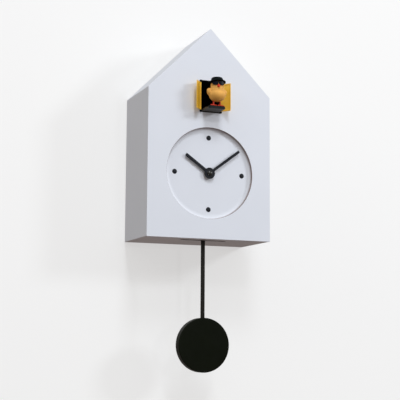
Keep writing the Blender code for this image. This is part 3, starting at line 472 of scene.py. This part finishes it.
GREY_PLASTIC = coated("grey_plastic", (0.060, 0.062, 0.066), 0.5, grain=1500.0, relief=0.00003, tone=0.08)
WHITE_PLASTIC = coated("white_plastic", (0.66, 0.66, 0.64), 0.42, grain=1500.0, relief=0.00002, tone=0.02)
DOOR_YELLOW = coated("door_yellow", (0.96, 0.56, 0.045), 0.38, grain=1500.0, relief=0.00002, tone=0.05,
                     blotch=60.0)
STAND_BLACK = coated("stand_black", (0.009, 0.013, 0.013), 0.60, grain=1000.0, relief=0.00008, tone=0.30,
                     blotch=500.0, Specular_IOR_Level=0.15)
PERCH_GREY = coated("perch_grey", (0.080, 0.078, 0.071), 0.6, grain=1200.0, relief=0.00006, tone=0.22,
                    blotch=400.0, Specular_IOR_Level=0.3)
BIRD_ORANGE = coated("bird_orange", (0.79, 0.405, 0.086), 0.62, grain=900.0, relief=0.00006, tone=0.06,
                     blotch=180.0, Specular_IOR_Level=0.3)
BIRD_BLACK = coated("bird_black", (0.0035, 0.0065, 0.0075), 0.65, grain=1200.0, relief=0.00003, tone=0.20,
                    blotch=200.0, Specular_IOR_Level=0.06)
BIRD_RED = coated("bird_red", (0.60, 0.038, 0.012), 0.50, grain=1400.0, relief=0.00003, tone=0.10,
                  blotch=300.0, Specular_IOR_Level=0.3)
LENS_BLACK = coated("lens_black", (0.0060, 0.0070, 0.0130), 0.34, grain=1800.0, relief=0.000005, tone=0.10,
                    blotch=200.0, Specular_IOR_Level=0.07)
STEEL = metal("steel", (0.56, 0.57, 0.58), 0.30, (1.0, 1.0, 0.08))
BRASS = metal("brass", (0.74, 0.55, 0.24), 0.30, (0.1, 1.0, 0.1))
COPPER = metal("copper", (0.72, 0.33, 0.16), 0.38, (1.0, 0.1, 1.0), 3000.0)
MAGNET = coated("magnet", (0.05, 0.05, 0.055), 0.45, grain=2000.0, relief=0.00002, tone=0.15)
CIRCUIT = coated("circuit_green", (0.02, 0.16, 0.07), 0.40, grain=1800.0, relief=0.00002, tone=0.25,
                 blotch=300.0)
BATTERY = coated("battery_sleeve", (0.05, 0.16, 0.38), 0.30, grain=1500.0, relief=0.00001, tone=0.03)

# --- Camera -------------------------------------------------------------------------------------------------

CAMERA_PLACE = (-0.65212, -1.68795, -0.28135)
CAMERA_TURN = 0.38326  # to the right of straight ahead, in radians
CAMERA_PITCH = 0.13749  # upwards
CAMERA_ROLL = 0.00657
CAMERA_LENS = 92.57


def make_camera():
    data = bpy.data.cameras.new("camera")
    data.lens = CAMERA_LENS
    camera = add("camera", data)
    camera.matrix_world = (Matrix.Translation(Vector(CAMERA_PLACE)) @ Matrix.Rotation(-CAMERA_TURN, 4, "Z")
                           @ Matrix.Rotation(math.pi / 2 + CAMERA_PITCH, 4, "X")
                           @ Matrix.Rotation(CAMERA_ROLL, 4, "Z"))
    scene.camera = camera


# --- Case ---------------------------------------------------------------------------------------------------

FRONT_EDGE = 0.0005
DIAL_LIP = 0.0006  # rounding of the dial recess's rim
CUT_PAST = 0.002  # how far a cutting shape reaches past the front


def house(inset=0.0):
    """The case's outline, from the lower left corner and to the right."""
    half = HALF_WIDTH - inset
    eave = EAVE_Z - inset * math.tan(ROOF_SLOPE / 2)
    apex = APEX_Z - inset / math.cos(ROOF_SLOPE)
    return [(-half, BASE_Z + inset), (half, BASE_Z + inset), (half, eave), (0.0, apex), (-half, eave)]


def rounded_corners(outline, radius, steps=8):
    """For each corner of a convex outline, the points of the arc that rounds it."""
    corners = []
    for i, corner in enumerate(outline):
        corner = Vector(corner)
        back = (Vector(outline[i - 1]) - corner).normalized()
        ahead = (Vector(outline[(i + 1) % len(outline)]) - corner).normalized()
        half_angle = back.angle(ahead) / 2
        centre = corner + (back + ahead).normalized() * radius / math.sin(half_angle)
        start = corner + back * radius / math.tan(half_angle) - centre
        end = corner + ahead * radius / math.tan(half_angle) - centre
        turn = start.angle_signed(end)
        first = math.atan2(start.y, start.x)
        corners.append([(centre.x + radius * math.cos(first - turn * k / steps),
                         centre.y + radius * math.sin(first - turn * k / steps)) for k in range(steps + 1)])
    return corners


def make_front_panel():
    outline = sum(rounded_corners(house(), CASE_ROUND), [])
    doorway = [(-DOORWAY_HALF, DOORWAY_Z[0]), (DOORWAY_HALF, DOORWAY_Z[0]), (DOORWAY_HALF, DOORWAY_Z[1]),
               (-DOORWAY_HALF, DOORWAY_Z[1])]
    panel = plate("front_panel_lacquered", "Y", [outline, doorway], (FRONT_Y, PANEL_BACK_Y + HALF_GAP))
    past = FRONT_Y - CUT_PAST
    dish = [(DIAL_RADIUS - DISH_WIDE * (1.0 - u), DIAL_Y - DISH_RISE * (1.0 - v))
            for u, v in arc((0.0, 0.0), 1.0, 90.0, 0.0, steps=20)]
    steps = 5
    rim = [(DIAL_RADIUS + DIAL_LIP - DIAL_LIP * math.cos(a), FRONT_Y + DIAL_LIP - DIAL_LIP * math.sin(a))
           for a in (math.radians(90.0 * k / steps) for k in range(steps + 1))]
    profile = [(0.0, DIAL_Y)] + dish + rim + [(DIAL_RADIUS + DIAL_LIP, past), (0.0, past)]
    recess = turned("dial_recess", "Y", (0, 0, 0), profile, LARGE_ROUND)
    hole_profile = [(0.0, 0.0), (BUSH_HOLE, 0.0), (BUSH_HOLE, past), (0.0, past)]
    bush_hole = turned("bush_hole", "Y", (0, 0, 0), hole_profile, SMALL_ROUND)
    panel = boolean(panel, "DIFFERENCE", recess, bush_hole)

    def on_front(edge):
        return all(abs(v.co.y - FRONT_Y) < ON_PLANE for v in edge.verts)

    ease_edges(panel, FRONT_EDGE, segments=4, angle=BOARD_ANGLE, chosen=on_front)
    finish_piece(smooth(panel), "case", SHADED_DIAL_LACQUER, "white_lacquer", "front_panel")


def cut_pendulum_slot(board):
    straight = SLOT_HALF - SLOT_RADIUS
    past, near = 0.005, 0.0005
    slot = (arc((straight, PIVOT.y), SLOT_RADIUS, -90.0, 90.0, steps=24)
            + arc((-straight, PIVOT.y), SLOT_RADIUS, 90.0, 270.0, steps=24))
    cutter = plate("pendulum_slot", "Z", [slot], (BASE_Z - past, BASE_Z + WALL_THICK + past))

    def on_slot(edge):
        return all(abs(v.co.z - BASE_Z) < ON_PLANE and abs(v.co.y - PIVOT.y) < SLOT_RADIUS + near
                   and abs(v.co.x) < SLOT_HALF + near for v in edge.verts)

    board = boolean(board, "DIFFERENCE", cutter)
    return ease_edges(board, SLOT_EDGE, segments=3, angle=BOARD_ANGLE, chosen=on_slot)


def make_wall_panels():
    """The five boards behind the front panel, with rounded outer corners. Each mitre splits an arc."""
    arcs = rounded_corners(house(), CASE_ROUND)
    inner = house(WALL_THICK)
    names = ("bottom_panel", "right_side_panel", "right_roof_panel", "left_roof_panel", "left_side_panel")
    ends = (PANEL_BACK_Y + HALF_GAP, 0.0)
    for i, name in enumerate(names):
        j = (i + 1) % len(inner)
        half = len(arcs[i]) // 2
        outline = arcs[i][half:] + arcs[j][:half + 1] + [inner[j], inner[i]]
        board = plate(name + "_lacquered", "Y", [outline], ends)
        material = WHITE_LACQUER
        if name == "bottom_panel":
            board = cut_pendulum_slot(board)
            material = SHADED_SLOT_LACQUER
        finish_piece(smooth(board), "case", material, "white_lacquer", name)


# --- Dial and hands -----------------------------------------------------------------------------------------

HAND_THICK = 0.0005
HAND_EDGE = 0.00012


def make_dots():
    steps = 12
    for name in ("dot_12", "dot_3", "dot_6", "dot_9"):
        centre = middle(name)
        low_y, high_y = span(name, "y")
        radius = (span(name, "x")[1] - span(name, "x")[0]) / 2
        height = high_y - low_y
        dome = [(radius * math.cos(a), -height * math.sin(a)) for a in
                (math.radians(90.0 * k / steps) for k in range(1, steps))]
        profile = [(0.0, 0.0), (radius, 0.0)] + dome + [(0.0, -height)]
        dot = turned(name + "_domed", "Y", (centre.x, high_y + GAP, centre.z), profile, SMALL_ROUND)
        finish_piece(smooth_all_round(dot, DOME_SHADE_ANGLE), "case", HAND_BLACK, "hand_black", name)


def make_hand(name, node, body, width, hub_radius, bore):
    """A straight hand: its direction and length come from the CAD hand's box."""
    low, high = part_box(node)
    y = (low[1] + high[1]) / 2
    half = width / 2
    reach_x = high[0] if abs(high[0]) > abs(low[0]) else low[0]
    reach = Vector((reach_x, high[2]))
    # The box's far corner lies half a width past the middle of the hand's square end, on both sides. The
    # angle and the length are found in turns, which settles quickly.
    length = reach.length
    turns = 8
    for _ in range(turns):
        angle = math.atan2(abs(reach.x) - half * reach.y / length, reach.y - half * abs(reach.x) / length)
        length = (abs(reach.x) - half * math.cos(angle)) / math.sin(angle)
    turn = -math.copysign(angle, reach.x)
    start = math.degrees(math.asin(half / hub_radius))
    hub = arc((0.0, 0.0), hub_radius, 90.0 + start, 450.0 - start, steps=60)
    outline = hub + [(half, length), (-half, length)]
    points = [(u * math.cos(turn) - v * math.sin(turn), u * math.sin(turn) + v * math.cos(turn))
              for u, v in outline]
    hole = circle((0.0, 0.0), bore, SMALL_ROUND)
    obj = plate(name, "Y", [points, hole], (y - HAND_THICK / 2, y + HAND_THICK / 2))
    ease_edges(obj, HAND_EDGE, segments=2, angle=PART_ANGLE)
    finish_piece(smooth(obj), body, HAND_BLACK, "hand_black", node)


def make_hands():
    make_hand("hour_hand_bar", "hour_hand", "hour", width=0.0056, hub_radius=0.0070, bore=0.00275)
    make_hand("minute_hand_bar", "minute_hand", "minute", width=0.0047, hub_radius=0.0096, bore=0.0017)


def make_hand_cap():
    """A turned cap: a short straight wall, a step and a low dome."""
    low_y, high_y = span("hand_cap", "y")
    radius = span("hand_cap", "x")[1]
    height = high_y - low_y
    wall = 0.0004
    step_width, step_height = wall * 0.5, wall * 0.4
    dome_radius = radius * 0.86
    steps = 14
    dome = [(dome_radius * math.sin(a), -wall - (height - wall) * math.cos(a)) for a in
            (math.radians(90.0 - 90.0 * k / steps) for k in range(steps))]
    profile = ([(0.0, GAP), (radius, GAP), (radius, step_height - wall), (radius - step_width, -wall)] + dome
               + [(0.0, -height)])
    cap = turned("hand_cap_domed", "Y", (0, high_y, 0), profile, steps=64)
    finish_piece(smooth_all_round(cap, DOME_SHADE_ANGLE), "minute", CAP_BLACK, "hand_black", "hand_cap")


# --- Pendulum -----------------------------------------------------------------------------------------------

BOB_EDGE = 0.0012
ROD_EDGE = 0.00035
PEG_DROP = 0.006  # the hanger's peg hole below the rod's top
PEG_HOLE = 0.0015


def make_bob():
    low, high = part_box("pendulum_bob")
    centre = (Vector(low) + Vector(high)) / 2
    radius = (high[0] - low[0]) / 2
    front, back = low[1] - centre.y, high[1] - centre.y
    inner = radius - BOB_EDGE
    profile = ([(0.0, back)] + arc((inner, back - BOB_EDGE), BOB_EDGE, 90.0, 0.0, steps=6)
               + arc((inner, front + BOB_EDGE), BOB_EDGE, 0.0, -90.0, steps=6) + [(0.0, front)])
    bob = turned("pendulum_bob_disc", "Y", centre, profile, LARGE_ROUND)
    rod_low, rod_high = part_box("pendulum_rod")
    past = 0.005
    socket = block("bob_socket", (rod_low[0] - GAP, rod_high[0] + GAP), (rod_low[1] - GAP, rod_high[1] + GAP),
                   (rod_low[2] - GAP, high[2] + past))
    bob = boolean(bob, "DIFFERENCE", socket)
    finish_piece(smooth(bob), "pendulum", BOB_BLACK, "bob_black", "pendulum_bob")


def make_rod():
    low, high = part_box("pendulum_rod")
    half = (high[0] - low[0]) / 2
    outline = arc((0.0, high[2] - half), half, 0.0, 180.0, steps=24) + [(-half, low[2]), (half, low[2])]
    peg = circle((0.0, high[2] - PEG_DROP), PEG_HOLE, steps=32)
    bar = plate("pendulum_rod_bar", "Y", [outline, peg], (low[1], high[1]))
    ease_edges(bar, ROD_EDGE, segments=3, angle=PART_ANGLE)
    finish_piece(smooth(bar), "pendulum", ROD_BLACK, "rod_black", "pendulum_rod")


# --- Doors --------------------------------------------------------------------------------------------------

DOOR_RIM = 0.0019
DOOR_FACES = (-0.0006, 0.0008)  # outer and inner face of a closed door, behind its hinge axis
DOOR_PANEL_INNER = 0.0002  # inner face of the thin panel inside the rim
DOOR_LENGTH = 0.0182
DOOR_EDGE = 0.0002
BARREL_RADIUS = 0.0012
BARREL_BORE = 0.0007
BARREL_SIDE = 0.0004  # the rim is this much wider on the barrel's side
DOOR_OPEN = math.radians(132.0)


def make_door(side):
    """A shallow moulded tray: a thin panel with a rim on its inner face, and a barrel on the hinge axis."""
    name = "left" if side < 0 else "right"
    hinge = joint_place(name + "_door_swing")
    z = span(name + "_door", "z")
    outer, inner = DOOR_FACES
    first, last = (math.degrees(math.asin(face / BARREL_RADIUS)) for face in (inner, outer))
    section = ([(DOOR_LENGTH, outer), (DOOR_LENGTH, inner)]
               + arc((0.0, 0.0), BARREL_RADIUS, first, 360.0 + last, steps=32))
    bore = circle((0.0, 0.0), BARREL_BORE, steps=24)

    def closed(points):
        return [(-side * u, v) for u, v in points]

    door = plate(name + "_door_tray", "Z", [closed(section), bore], z)
    near, far, past = DOOR_RIM + BARREL_SIDE, DOOR_LENGTH - DOOR_RIM, inner + 0.001
    dip = plate("door_dip", "Z", [closed([(near, DOOR_PANEL_INNER), (far, DOOR_PANEL_INNER), (far, past),
                                          (near, past)])], (z[0] + DOOR_RIM, z[1] - DOOR_RIM))
    door = boolean(door, "DIFFERENCE", dip)
    ease_edges(door, DOOR_EDGE, segments=3, angle=PART_ANGLE)
    opened = Matrix.Translation((hinge.x, hinge.y, 0.0)) @ Matrix.Rotation(side * DOOR_OPEN, 4, "Z")
    door.data.transform(opened)
    finish_piece(smooth(door), name + "_door", DOOR_YELLOW, "door_yellow", name + "_door")


# --- Bird ---------------------------------------------------------------------------------------------------

HEAD_TURN = math.radians(10.0)
BELLY_DROP = 0.0214  # from the hat's brim to the belly's middle
HIP_DROP = 0.0085  # from the belly's middle to the legs' upper ends
BEAK_DROP = 0.0080  # from the hat's brim to the beak's root
HEAD_TRIM = 0.0012  # how far the head reaches up into the hat
GLASSES_EDGE = 0.0002
BODY_VOXEL = 0.00036
LEG_VOXEL = 0.00022


def blob(shape, centre, radii, tilt=None):
    """Adds an ellipsoid to a bmesh."""
    made = bmesh.ops.create_icosphere(shape, subdivisions=4, radius=1.0)
    place = Matrix.Translation(Vector(centre)) @ (tilt or Matrix.Identity(4))
    bmesh.ops.transform(shape, matrix=place @ Matrix.Diagonal((*radii, 1.0)), verts=made["verts"])


def skinned(name, shape, voxel, rounds):
    """One smooth skin over the overlapping shapes in a bmesh, which is freed."""
    mesh = bpy.data.meshes.new(name)
    shape.to_mesh(mesh)
    shape.free()
    obj = add(name, mesh)
    remesh = obj.modifiers.new("skin", "REMESH")
    remesh.mode = "VOXEL"
    remesh.voxel_size = voxel
    relax = obj.modifiers.new("relax", "SMOOTH")
    relax.factor = 0.5
    relax.iterations = rounds
    return settled(obj)


def rotation(axis, degrees):
    return Matrix.Rotation(math.radians(degrees), 4, axis)


def make_bird():
    bird_y = middle("bird_hat").y
    perch_top = span("bird_stand", "z")[1]
    brim_z, hat_top = span("bird_hat", "z")
    belly_z = brim_z - BELLY_DROP
    make_bird_body(bird_y, belly_z, brim_z)
    make_hat(middle("bird_hat").x, bird_y, brim_z, hat_top)
    for shape in (make_glasses(bird_y, brim_z), make_beak(bird_y, brim_z - BEAK_DROP)):
        turn_head(shape, bird_y)
    for side in (-1, 1):
        make_leg(side, bird_y, perch_top, belly_z - HIP_DROP)


def make_bird_body(bird_y, belly_z, brim_z):
    """Belly, breast, neck, head and tail in one skin, with two short wings."""
    blobs = [
        ((0.0, bird_y, belly_z - 0.0010), (0.0140, 0.0130, 0.0113)),
        ((0.0, bird_y + 0.0006, belly_z + 0.0056), (0.0127, 0.0118, 0.0105)),
        ((0.0, bird_y + 0.0001, belly_z + 0.0100), (0.0118, 0.0112, 0.0095)),
        ((0.0, bird_y - 0.0003, brim_z - 0.0062), (0.0115, 0.0108, 0.0090)),
        ((0.0, bird_y + 0.0116, belly_z - 0.0006), (0.0046, 0.0058, 0.0040), rotation("X", -35.0)),
    ]
    wing_z = belly_z + 0.0038
    for side in (-1, 1):
        sweep = rotation("Z", side * 24.0) @ rotation("Y", side * 12.0)
        blobs.append(((side * 0.0126, bird_y + 0.0024, wing_z), (0.0038, 0.0056, 0.0068), sweep))
        blobs.append(((side * 0.0136, bird_y + 0.0030, wing_z), (0.0036, 0.0052, 0.0064), sweep))
    shape = bmesh.new()
    for centre, radii, *tilt in blobs:
        blob(shape, centre, radii, *tilt)
    body = skinned("bird_body_modelled", shape, BODY_VOXEL, rounds=16)
    wide = 0.02
    trim = block("head_trim", (-wide, wide), (bird_y - wide, bird_y + wide),
                 (brim_z + HEAD_TRIM, brim_z + wide))
    body = boolean(body, "DIFFERENCE", trim)
    finish_piece(smooth_all_round(body, ROUND_SHADE_ANGLE), "bird", BIRD_ORANGE, "bird_orange", "bird_body")


def make_hat(hat_x, bird_y, brim_z, hat_top):
    """A plain round hat. Its thick brim curls up at the rim and dips at both sides."""
    brim, crown, thick, shoulder = 0.0149, 0.0100, 0.0015, 0.0034
    flat_top, curl, droop = 0.0040, 0.0003, 0.0020
    foot_steps = ((0.0001, 0.0012), (0.0006, 0.0003))  # outwards from the crown, and up from the brim
    top = arc((crown - shoulder, hat_top - shoulder), shoulder, 90.0, 6.0, steps=12)
    foot = [(crown + out, brim_z + thick + up) for out, up in foot_steps]
    roll = arc((brim - thick / 2, brim_z + thick / 2 + curl), thick / 2, 100.0, -80.0, steps=10)
    profile = [(0.0, hat_top), (flat_top, hat_top)] + top + foot + roll + [(crown, brim_z), (0.0, brim_z)]
    hat = turned("bird_hat_felt", "Z", (hat_x, bird_y, 0.0), profile, steps=128)

    def dip(shape):
        for vertex in shape.verts:
            x = vertex.co.x - hat_x
            out = max(0.0, math.hypot(x, vertex.co.y - bird_y) - crown) / (brim - crown)
            sideways = abs(x) / brim
            vertex.co.z -= droop * out * sideways ** 2

    reshape(hat, dip)
    finish_piece(smooth_all_round(hat, ROUND_SHADE_ANGLE), "bird", BIRD_BLACK, "bird_black", "bird_hat")


def turn_head(obj, bird_y):
    """The bird looks a little to its right."""
    middle_line = Matrix.Translation((0.0, bird_y, 0.0))
    obj.data.transform(middle_line @ Matrix.Rotation(-HEAD_TURN, 4, "Z") @ middle_line.inverted())


def make_glasses(bird_y, brim_z):
    """Plain dark glasses, bent round the face."""
    lens_x, lens_z = 0.0052, brim_z - 0.0040
    half_wide, tall_up, tall_down = 0.0047, 0.0032, 0.0035
    front, thick = bird_y - 0.0122, 0.0014
    bend = 34.0  # depth per square of the distance from the middle, in 1/m
    long_edge = 0.0012
    steps = 48

    def eased(value, power):
        return math.copysign(abs(value) ** power, value)

    def lens(side):
        points = []
        for k in range(steps):
            a = 2 * math.pi * k / steps
            tall = tall_up if math.sin(a) > 0 else tall_down
            points.append((side * lens_x + half_wide * eased(math.cos(a), 0.75),
                           lens_z + tall * eased(math.sin(a), 0.8)))
        return points

    left = plate("lens_left", "Y", [lens(-1)], (front, front + thick))
    right = plate("lens_right", "Y", [lens(1)], (front, front + thick))
    bridge_half, bridge_depth, bridge_rise = 0.0020, (0.0001, 0.0012), (0.0006, 0.0021)
    bar = block("bridge", (-bridge_half, bridge_half), [front + d for d in bridge_depth],
                [lens_z + d for d in bridge_rise])
    glasses = boolean(left, "UNION", right, bar)
    temple_x, temple_depth, temple_rise = (0.0092, 0.0101), (0.0004, 0.0095), (0.0004, 0.0019)
    temples = [block("temple", sorted(side * x for x in temple_x), [front + d for d in temple_depth],
                     [lens_z + d for d in temple_rise]) for side in (-1, 1)]
    glasses = boolean(glasses, "UNION", *temples)
    ease_edges(glasses, GLASSES_EDGE, segments=2, angle=PART_ANGLE)

    def refine(shape):
        long_edges = [e for e in shape.edges if e.calc_length() > long_edge]
        bmesh.ops.subdivide_edges(shape, edges=long_edges, cuts=3, use_grid_fill=True)
        bmesh.ops.triangulate(shape, faces=[f for f in shape.faces if len(f.verts) > 4])

    def wrap(shape):
        for vertex in shape.verts:
            vertex.co.y += bend * vertex.co.x ** 2

    reshape(glasses, refine, wrap)
    return finish_piece(smooth(glasses), "bird", LENS_BLACK, "bird_black", "bird_glasses")


def make_beak(bird_y, beak_z):
    """A short thick beak that points a little downwards."""
    length, root, rear = 0.0058, 0.0035, 0.0034
    flatten, droop, root_y = 0.92, 26.0, bird_y - 0.0092
    steps = 12
    profile = [(0.0, rear)]
    for k in range(steps + 1):
        t = k / steps
        profile.append((root * math.sqrt(max(0.0, 1.0 - t ** 1.5)), rear - (length + rear) * t))
    beak = turned("bird_beak_cone", "Y", (0, 0, 0), profile, SMALL_ROUND)
    place = (Matrix.Translation((0.0, root_y, beak_z)) @ rotation("X", droop)
             @ Matrix.Diagonal((1.0, 1.0, flatten, 1.0)))
    beak.data.transform(place)
    return finish_piece(smooth_all_round(beak, ROUND_SHADE_ANGLE), "bird", BIRD_RED, "bird_red", "bird_beak")


def limb(shape, start, end, radius):
    """Adds a tapering rod with round ends to a bmesh, as a chain of spheres that the skin joins later."""
    spacing, taper = 0.35, 0.10  # parts of the radius
    steps = max(2, round((Vector(end) - Vector(start)).length / (radius * spacing)))
    for k in range(steps + 1):
        place = Vector(start).lerp(Vector(end), k / steps)
        made = bmesh.ops.create_icosphere(shape, subdivisions=2, radius=radius * (1.0 - taper * k / steps))
        bmesh.ops.translate(shape, vec=place, verts=made["verts"])


def make_leg(side, bird_y, perch_top, hip_z):
    name = "left_leg" if side < 0 else "right_leg"
    stance, behind, ankle_rise, toe_rise = 0.0058, 0.0018, 0.0017, 0.0012
    shin_radius, toe_radius = 0.00142, 0.00130
    x, ankle_y = side * stance, bird_y + behind
    ankle = (x, ankle_y, perch_top + ankle_rise)
    toes = ((-68.0 * side, 0.0044), (0.0, 0.0026), (68.0 * side, 0.0058))  # spread in degrees, and reach
    shape = bmesh.new()
    limb(shape, (x, ankle_y, hip_z), ankle, shin_radius)
    for spread, reach in toes:
        a = math.radians(spread)
        tip = (x + reach * math.sin(a), ankle_y - reach * math.cos(a), perch_top + toe_rise)
        limb(shape, ankle, tip, toe_radius)
    leg = skinned(name + "_modelled", shape, LEG_VOXEL, rounds=4)
    finish_piece(smooth_all_round(leg, ROUND_SHADE_ANGLE), "bird", BIRD_RED, "bird_red", name)


STAND_CORNER = 0.0035
STAND_LIP = 0.0032
STAND_DECK = 0.0014  # thickness over the carriage
STAND_EDGE = 0.0005


def make_stand():
    """The dark stand under the bird's feet, which wraps over the carriage's front end."""
    low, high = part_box("bird_stand")
    half, corner = high[0], STAND_CORNER
    past, wide = 0.001, 0.02
    outline = (arc((half - corner, low[1] + corner), corner, -90.0, 0.0, steps=20)
               + [(half, high[1]), (-half, high[1])]
               + arc((-half + corner, low[1] + corner), corner, 180.0, 270.0, steps=20))
    stand = plate("bird_stand_cover", "Z", [outline], (low[2], high[2]))
    hollow = block("stand_hollow", (-wide, wide), (low[1] + STAND_LIP - GAP, high[1] + past),
                   (low[2] - past, high[2] - STAND_DECK))
    stand = boolean(stand, "DIFFERENCE", hollow)
    ease_edges(stand, STAND_EDGE, segments=3, angle=BOARD_ANGLE)
    finish_piece(smooth(stand), "bird", STAND_BLACK, "stand_black", "bird_stand")


# --- Pieces that keep their CAD shape -----------------------------------------------------------------------


def paint_kept_pieces():
    finishes = {
        BACK_BOARD: ("back_panel",),
        STEEL: ("hanger_plate", "left_hanger_screw", "right_hanger_screw", "centre_arbor", "stator",
                "pivot_pin"),
        WHITE_PLASTIC: ("access_cover", "pendulum_hanger"),
        LINER_BLACK: ("doorway_liner", "left_guide_rail", "right_guide_rail"),
        BLACK_PLASTIC: ("setting_knob", "battery_holder", "speaker"),
        GREY_PLASTIC: ("movement_front_case", "movement_rear_case", "slide_motor"),
        BRASS: ("hour_wheel", "minute_wheel", "drive_pinion", "dial_washer", "dial_nut"),
        COPPER: ("motor_coil", "pendulum_coil"),
        MAGNET: ("rotor", "pendulum_magnet"),
        PERCH_GREY: ("perch_platform",),
        CIRCUIT: ("circuit_board", "sound_board"),
        BATTERY: ("battery_1", "battery_2", "battery_3"),
        DOOR_YELLOW: ("left_hinge_pin", "right_hinge_pin"),
    }
    for material, names in finishes.items():
        for name in names:
            paint(nodes[name], material)


# --- Stage and light ----------------------------------------------------------------------------------------

STAGE_SIZE = 12.0
FLOOR_DROP = 0.75
WALL_Y = 0.0006  # just behind the clock's back
WALL_COLOUR, WALL_GLOW = (0.43, 0.432, 0.432), (0.536, 0.536, 0.536)
FLOOR_COLOUR, FLOOR_GLOW = (0.57, 0.57, 0.56), (0.40, 0.40, 0.39)
SKY_LOW, SKY_LEVEL, SKY_HIGH = (0.196, 0.138, 0.122), (0.265, 0.250, 0.228), (0.82, 0.825, 0.83)
COOL_WHITE = (0.93, 0.965, 1.0)


def one_sided(name, colour, glow):
    """A softly glowing backdrop, seen from its front only, so that it never hides the object."""
    material, shader = principled(name, colour, 0.9, Specular_IOR_Level=0.0, Emission_Color=(*glow, 1.0),
                                  Emission_Strength=1.0)
    tree = material.node_tree
    side = tree.nodes.new("ShaderNodeNewGeometry")
    clear = tree.nodes.new("ShaderNodeBsdfTransparent")
    mix = tree.nodes.new("ShaderNodeMixShader")
    tree.links.new(side.outputs["Backfacing"], mix.inputs["Fac"])
    tree.links.new(shader.outputs["BSDF"], mix.inputs[1])
    tree.links.new(clear.outputs["BSDF"], mix.inputs[2])
    tree.links.new(mix.outputs["Shader"], tree.nodes["Material Output"].inputs["Surface"])
    return material


def make_stage():
    for name, place, turn, colour, glow in (
            ("wall", (0.0, WALL_Y, 0.0), math.pi / 2, WALL_COLOUR, WALL_GLOW),
            ("floor", (0.0, 0.0, cad_low.z - FLOOR_DROP), 0.0, FLOOR_COLOUR, FLOOR_GLOW)):
        mesh = bpy.data.meshes.new(name)
        shape = bmesh.new()
        bmesh.ops.create_grid(shape, x_segments=1, y_segments=1, size=STAGE_SIZE / 2)
        shape.to_mesh(mesh)
        shape.free()
        plane = add(name, mesh)
        plane.matrix_world = Matrix.Translation(Vector(place)) @ Matrix.Rotation(turn, 4, "X")
        mesh.materials.append(one_sided(name, colour, glow))
        plane.visible_shadow = False
        plane.visible_diffuse = False
        plane.visible_glossy = False


def area_light(name, place, target, size, power, colour):
    data = bpy.data.lights.new(name, "AREA")
    data.shape = "DISK"
    data.size = size
    data.energy = power
    data.color = colour
    light = add(name, data)
    light.location = place
    aim = Vector(target) - Vector(place)
    light.rotation_mode = "QUATERNION"
    light.rotation_quaternion = aim.to_track_quat("-Z", "Y")


def make_lights():
    area_light("key", (-0.22, -2.6, 1.43), (0.0, 0.0, 0.0), size=0.34, power=8.0, colour=(0.94, 0.968, 1.0))
    area_light("high", (-0.25, -2.1, 2.4), (0.0, 0.0, 0.0), size=0.8, power=31.0, colour=COOL_WHITE)
    area_light("window", (2.35, -2.05, 1.00), (0.0, -0.1, 0.0), size=0.6, power=32.5, colour=COOL_WHITE)
    area_light("front", (0.30, -2.6, 0.04), (0.0, 0.0, -0.1), size=0.14, power=2.8, colour=(0.96, 0.98, 1.0))
    area_light("side", (-2.6, -0.7, 1.5), (-0.11, -0.06, 0.05), size=1.5, power=10.4,
               colour=(1.0, 0.95, 0.87))


def make_sky():
    """Soft light from all round, dim and warm from below and bright from above."""
    world = bpy.data.worlds.new("world")
    world.use_nodes = True
    tree = world.node_tree
    place = tree.nodes.new("ShaderNodeTexCoord")
    parts = tree.nodes.new("ShaderNodeSeparateXYZ")
    ramp = tree.nodes.new("ShaderNodeValToRGB")
    spread = tree.nodes.new("ShaderNodeMapRange")
    spread.inputs["From Min"].default_value = -1.0
    ramp.color_ramp.elements.new(0.5)
    for element, colour in zip(ramp.color_ramp.elements, (SKY_LOW, SKY_LEVEL, SKY_HIGH)):
        element.color = (*colour, 1.0)
    tree.links.new(place.outputs["Generated"], parts.inputs["Vector"])
    tree.links.new(parts.outputs["Z"], spread.inputs["Value"])
    tree.links.new(spread.outputs["Result"], ramp.inputs["Fac"])
    tree.links.new(ramp.outputs["Color"], tree.nodes["Background"].inputs["Color"])
    scene.world = world


# --- Build --------------------------------------------------------------------------------------------------

make_camera()
make_front_panel()
make_wall_panels()
make_dots()
make_hands()
make_hand_cap()
make_bob()
make_rod()
make_door(-1)
make_door(1)
make_bird()
make_stand()
paint_kept_pieces()
make_stage()
make_lights()
make_sky()

bpy.context.view_layer.update()
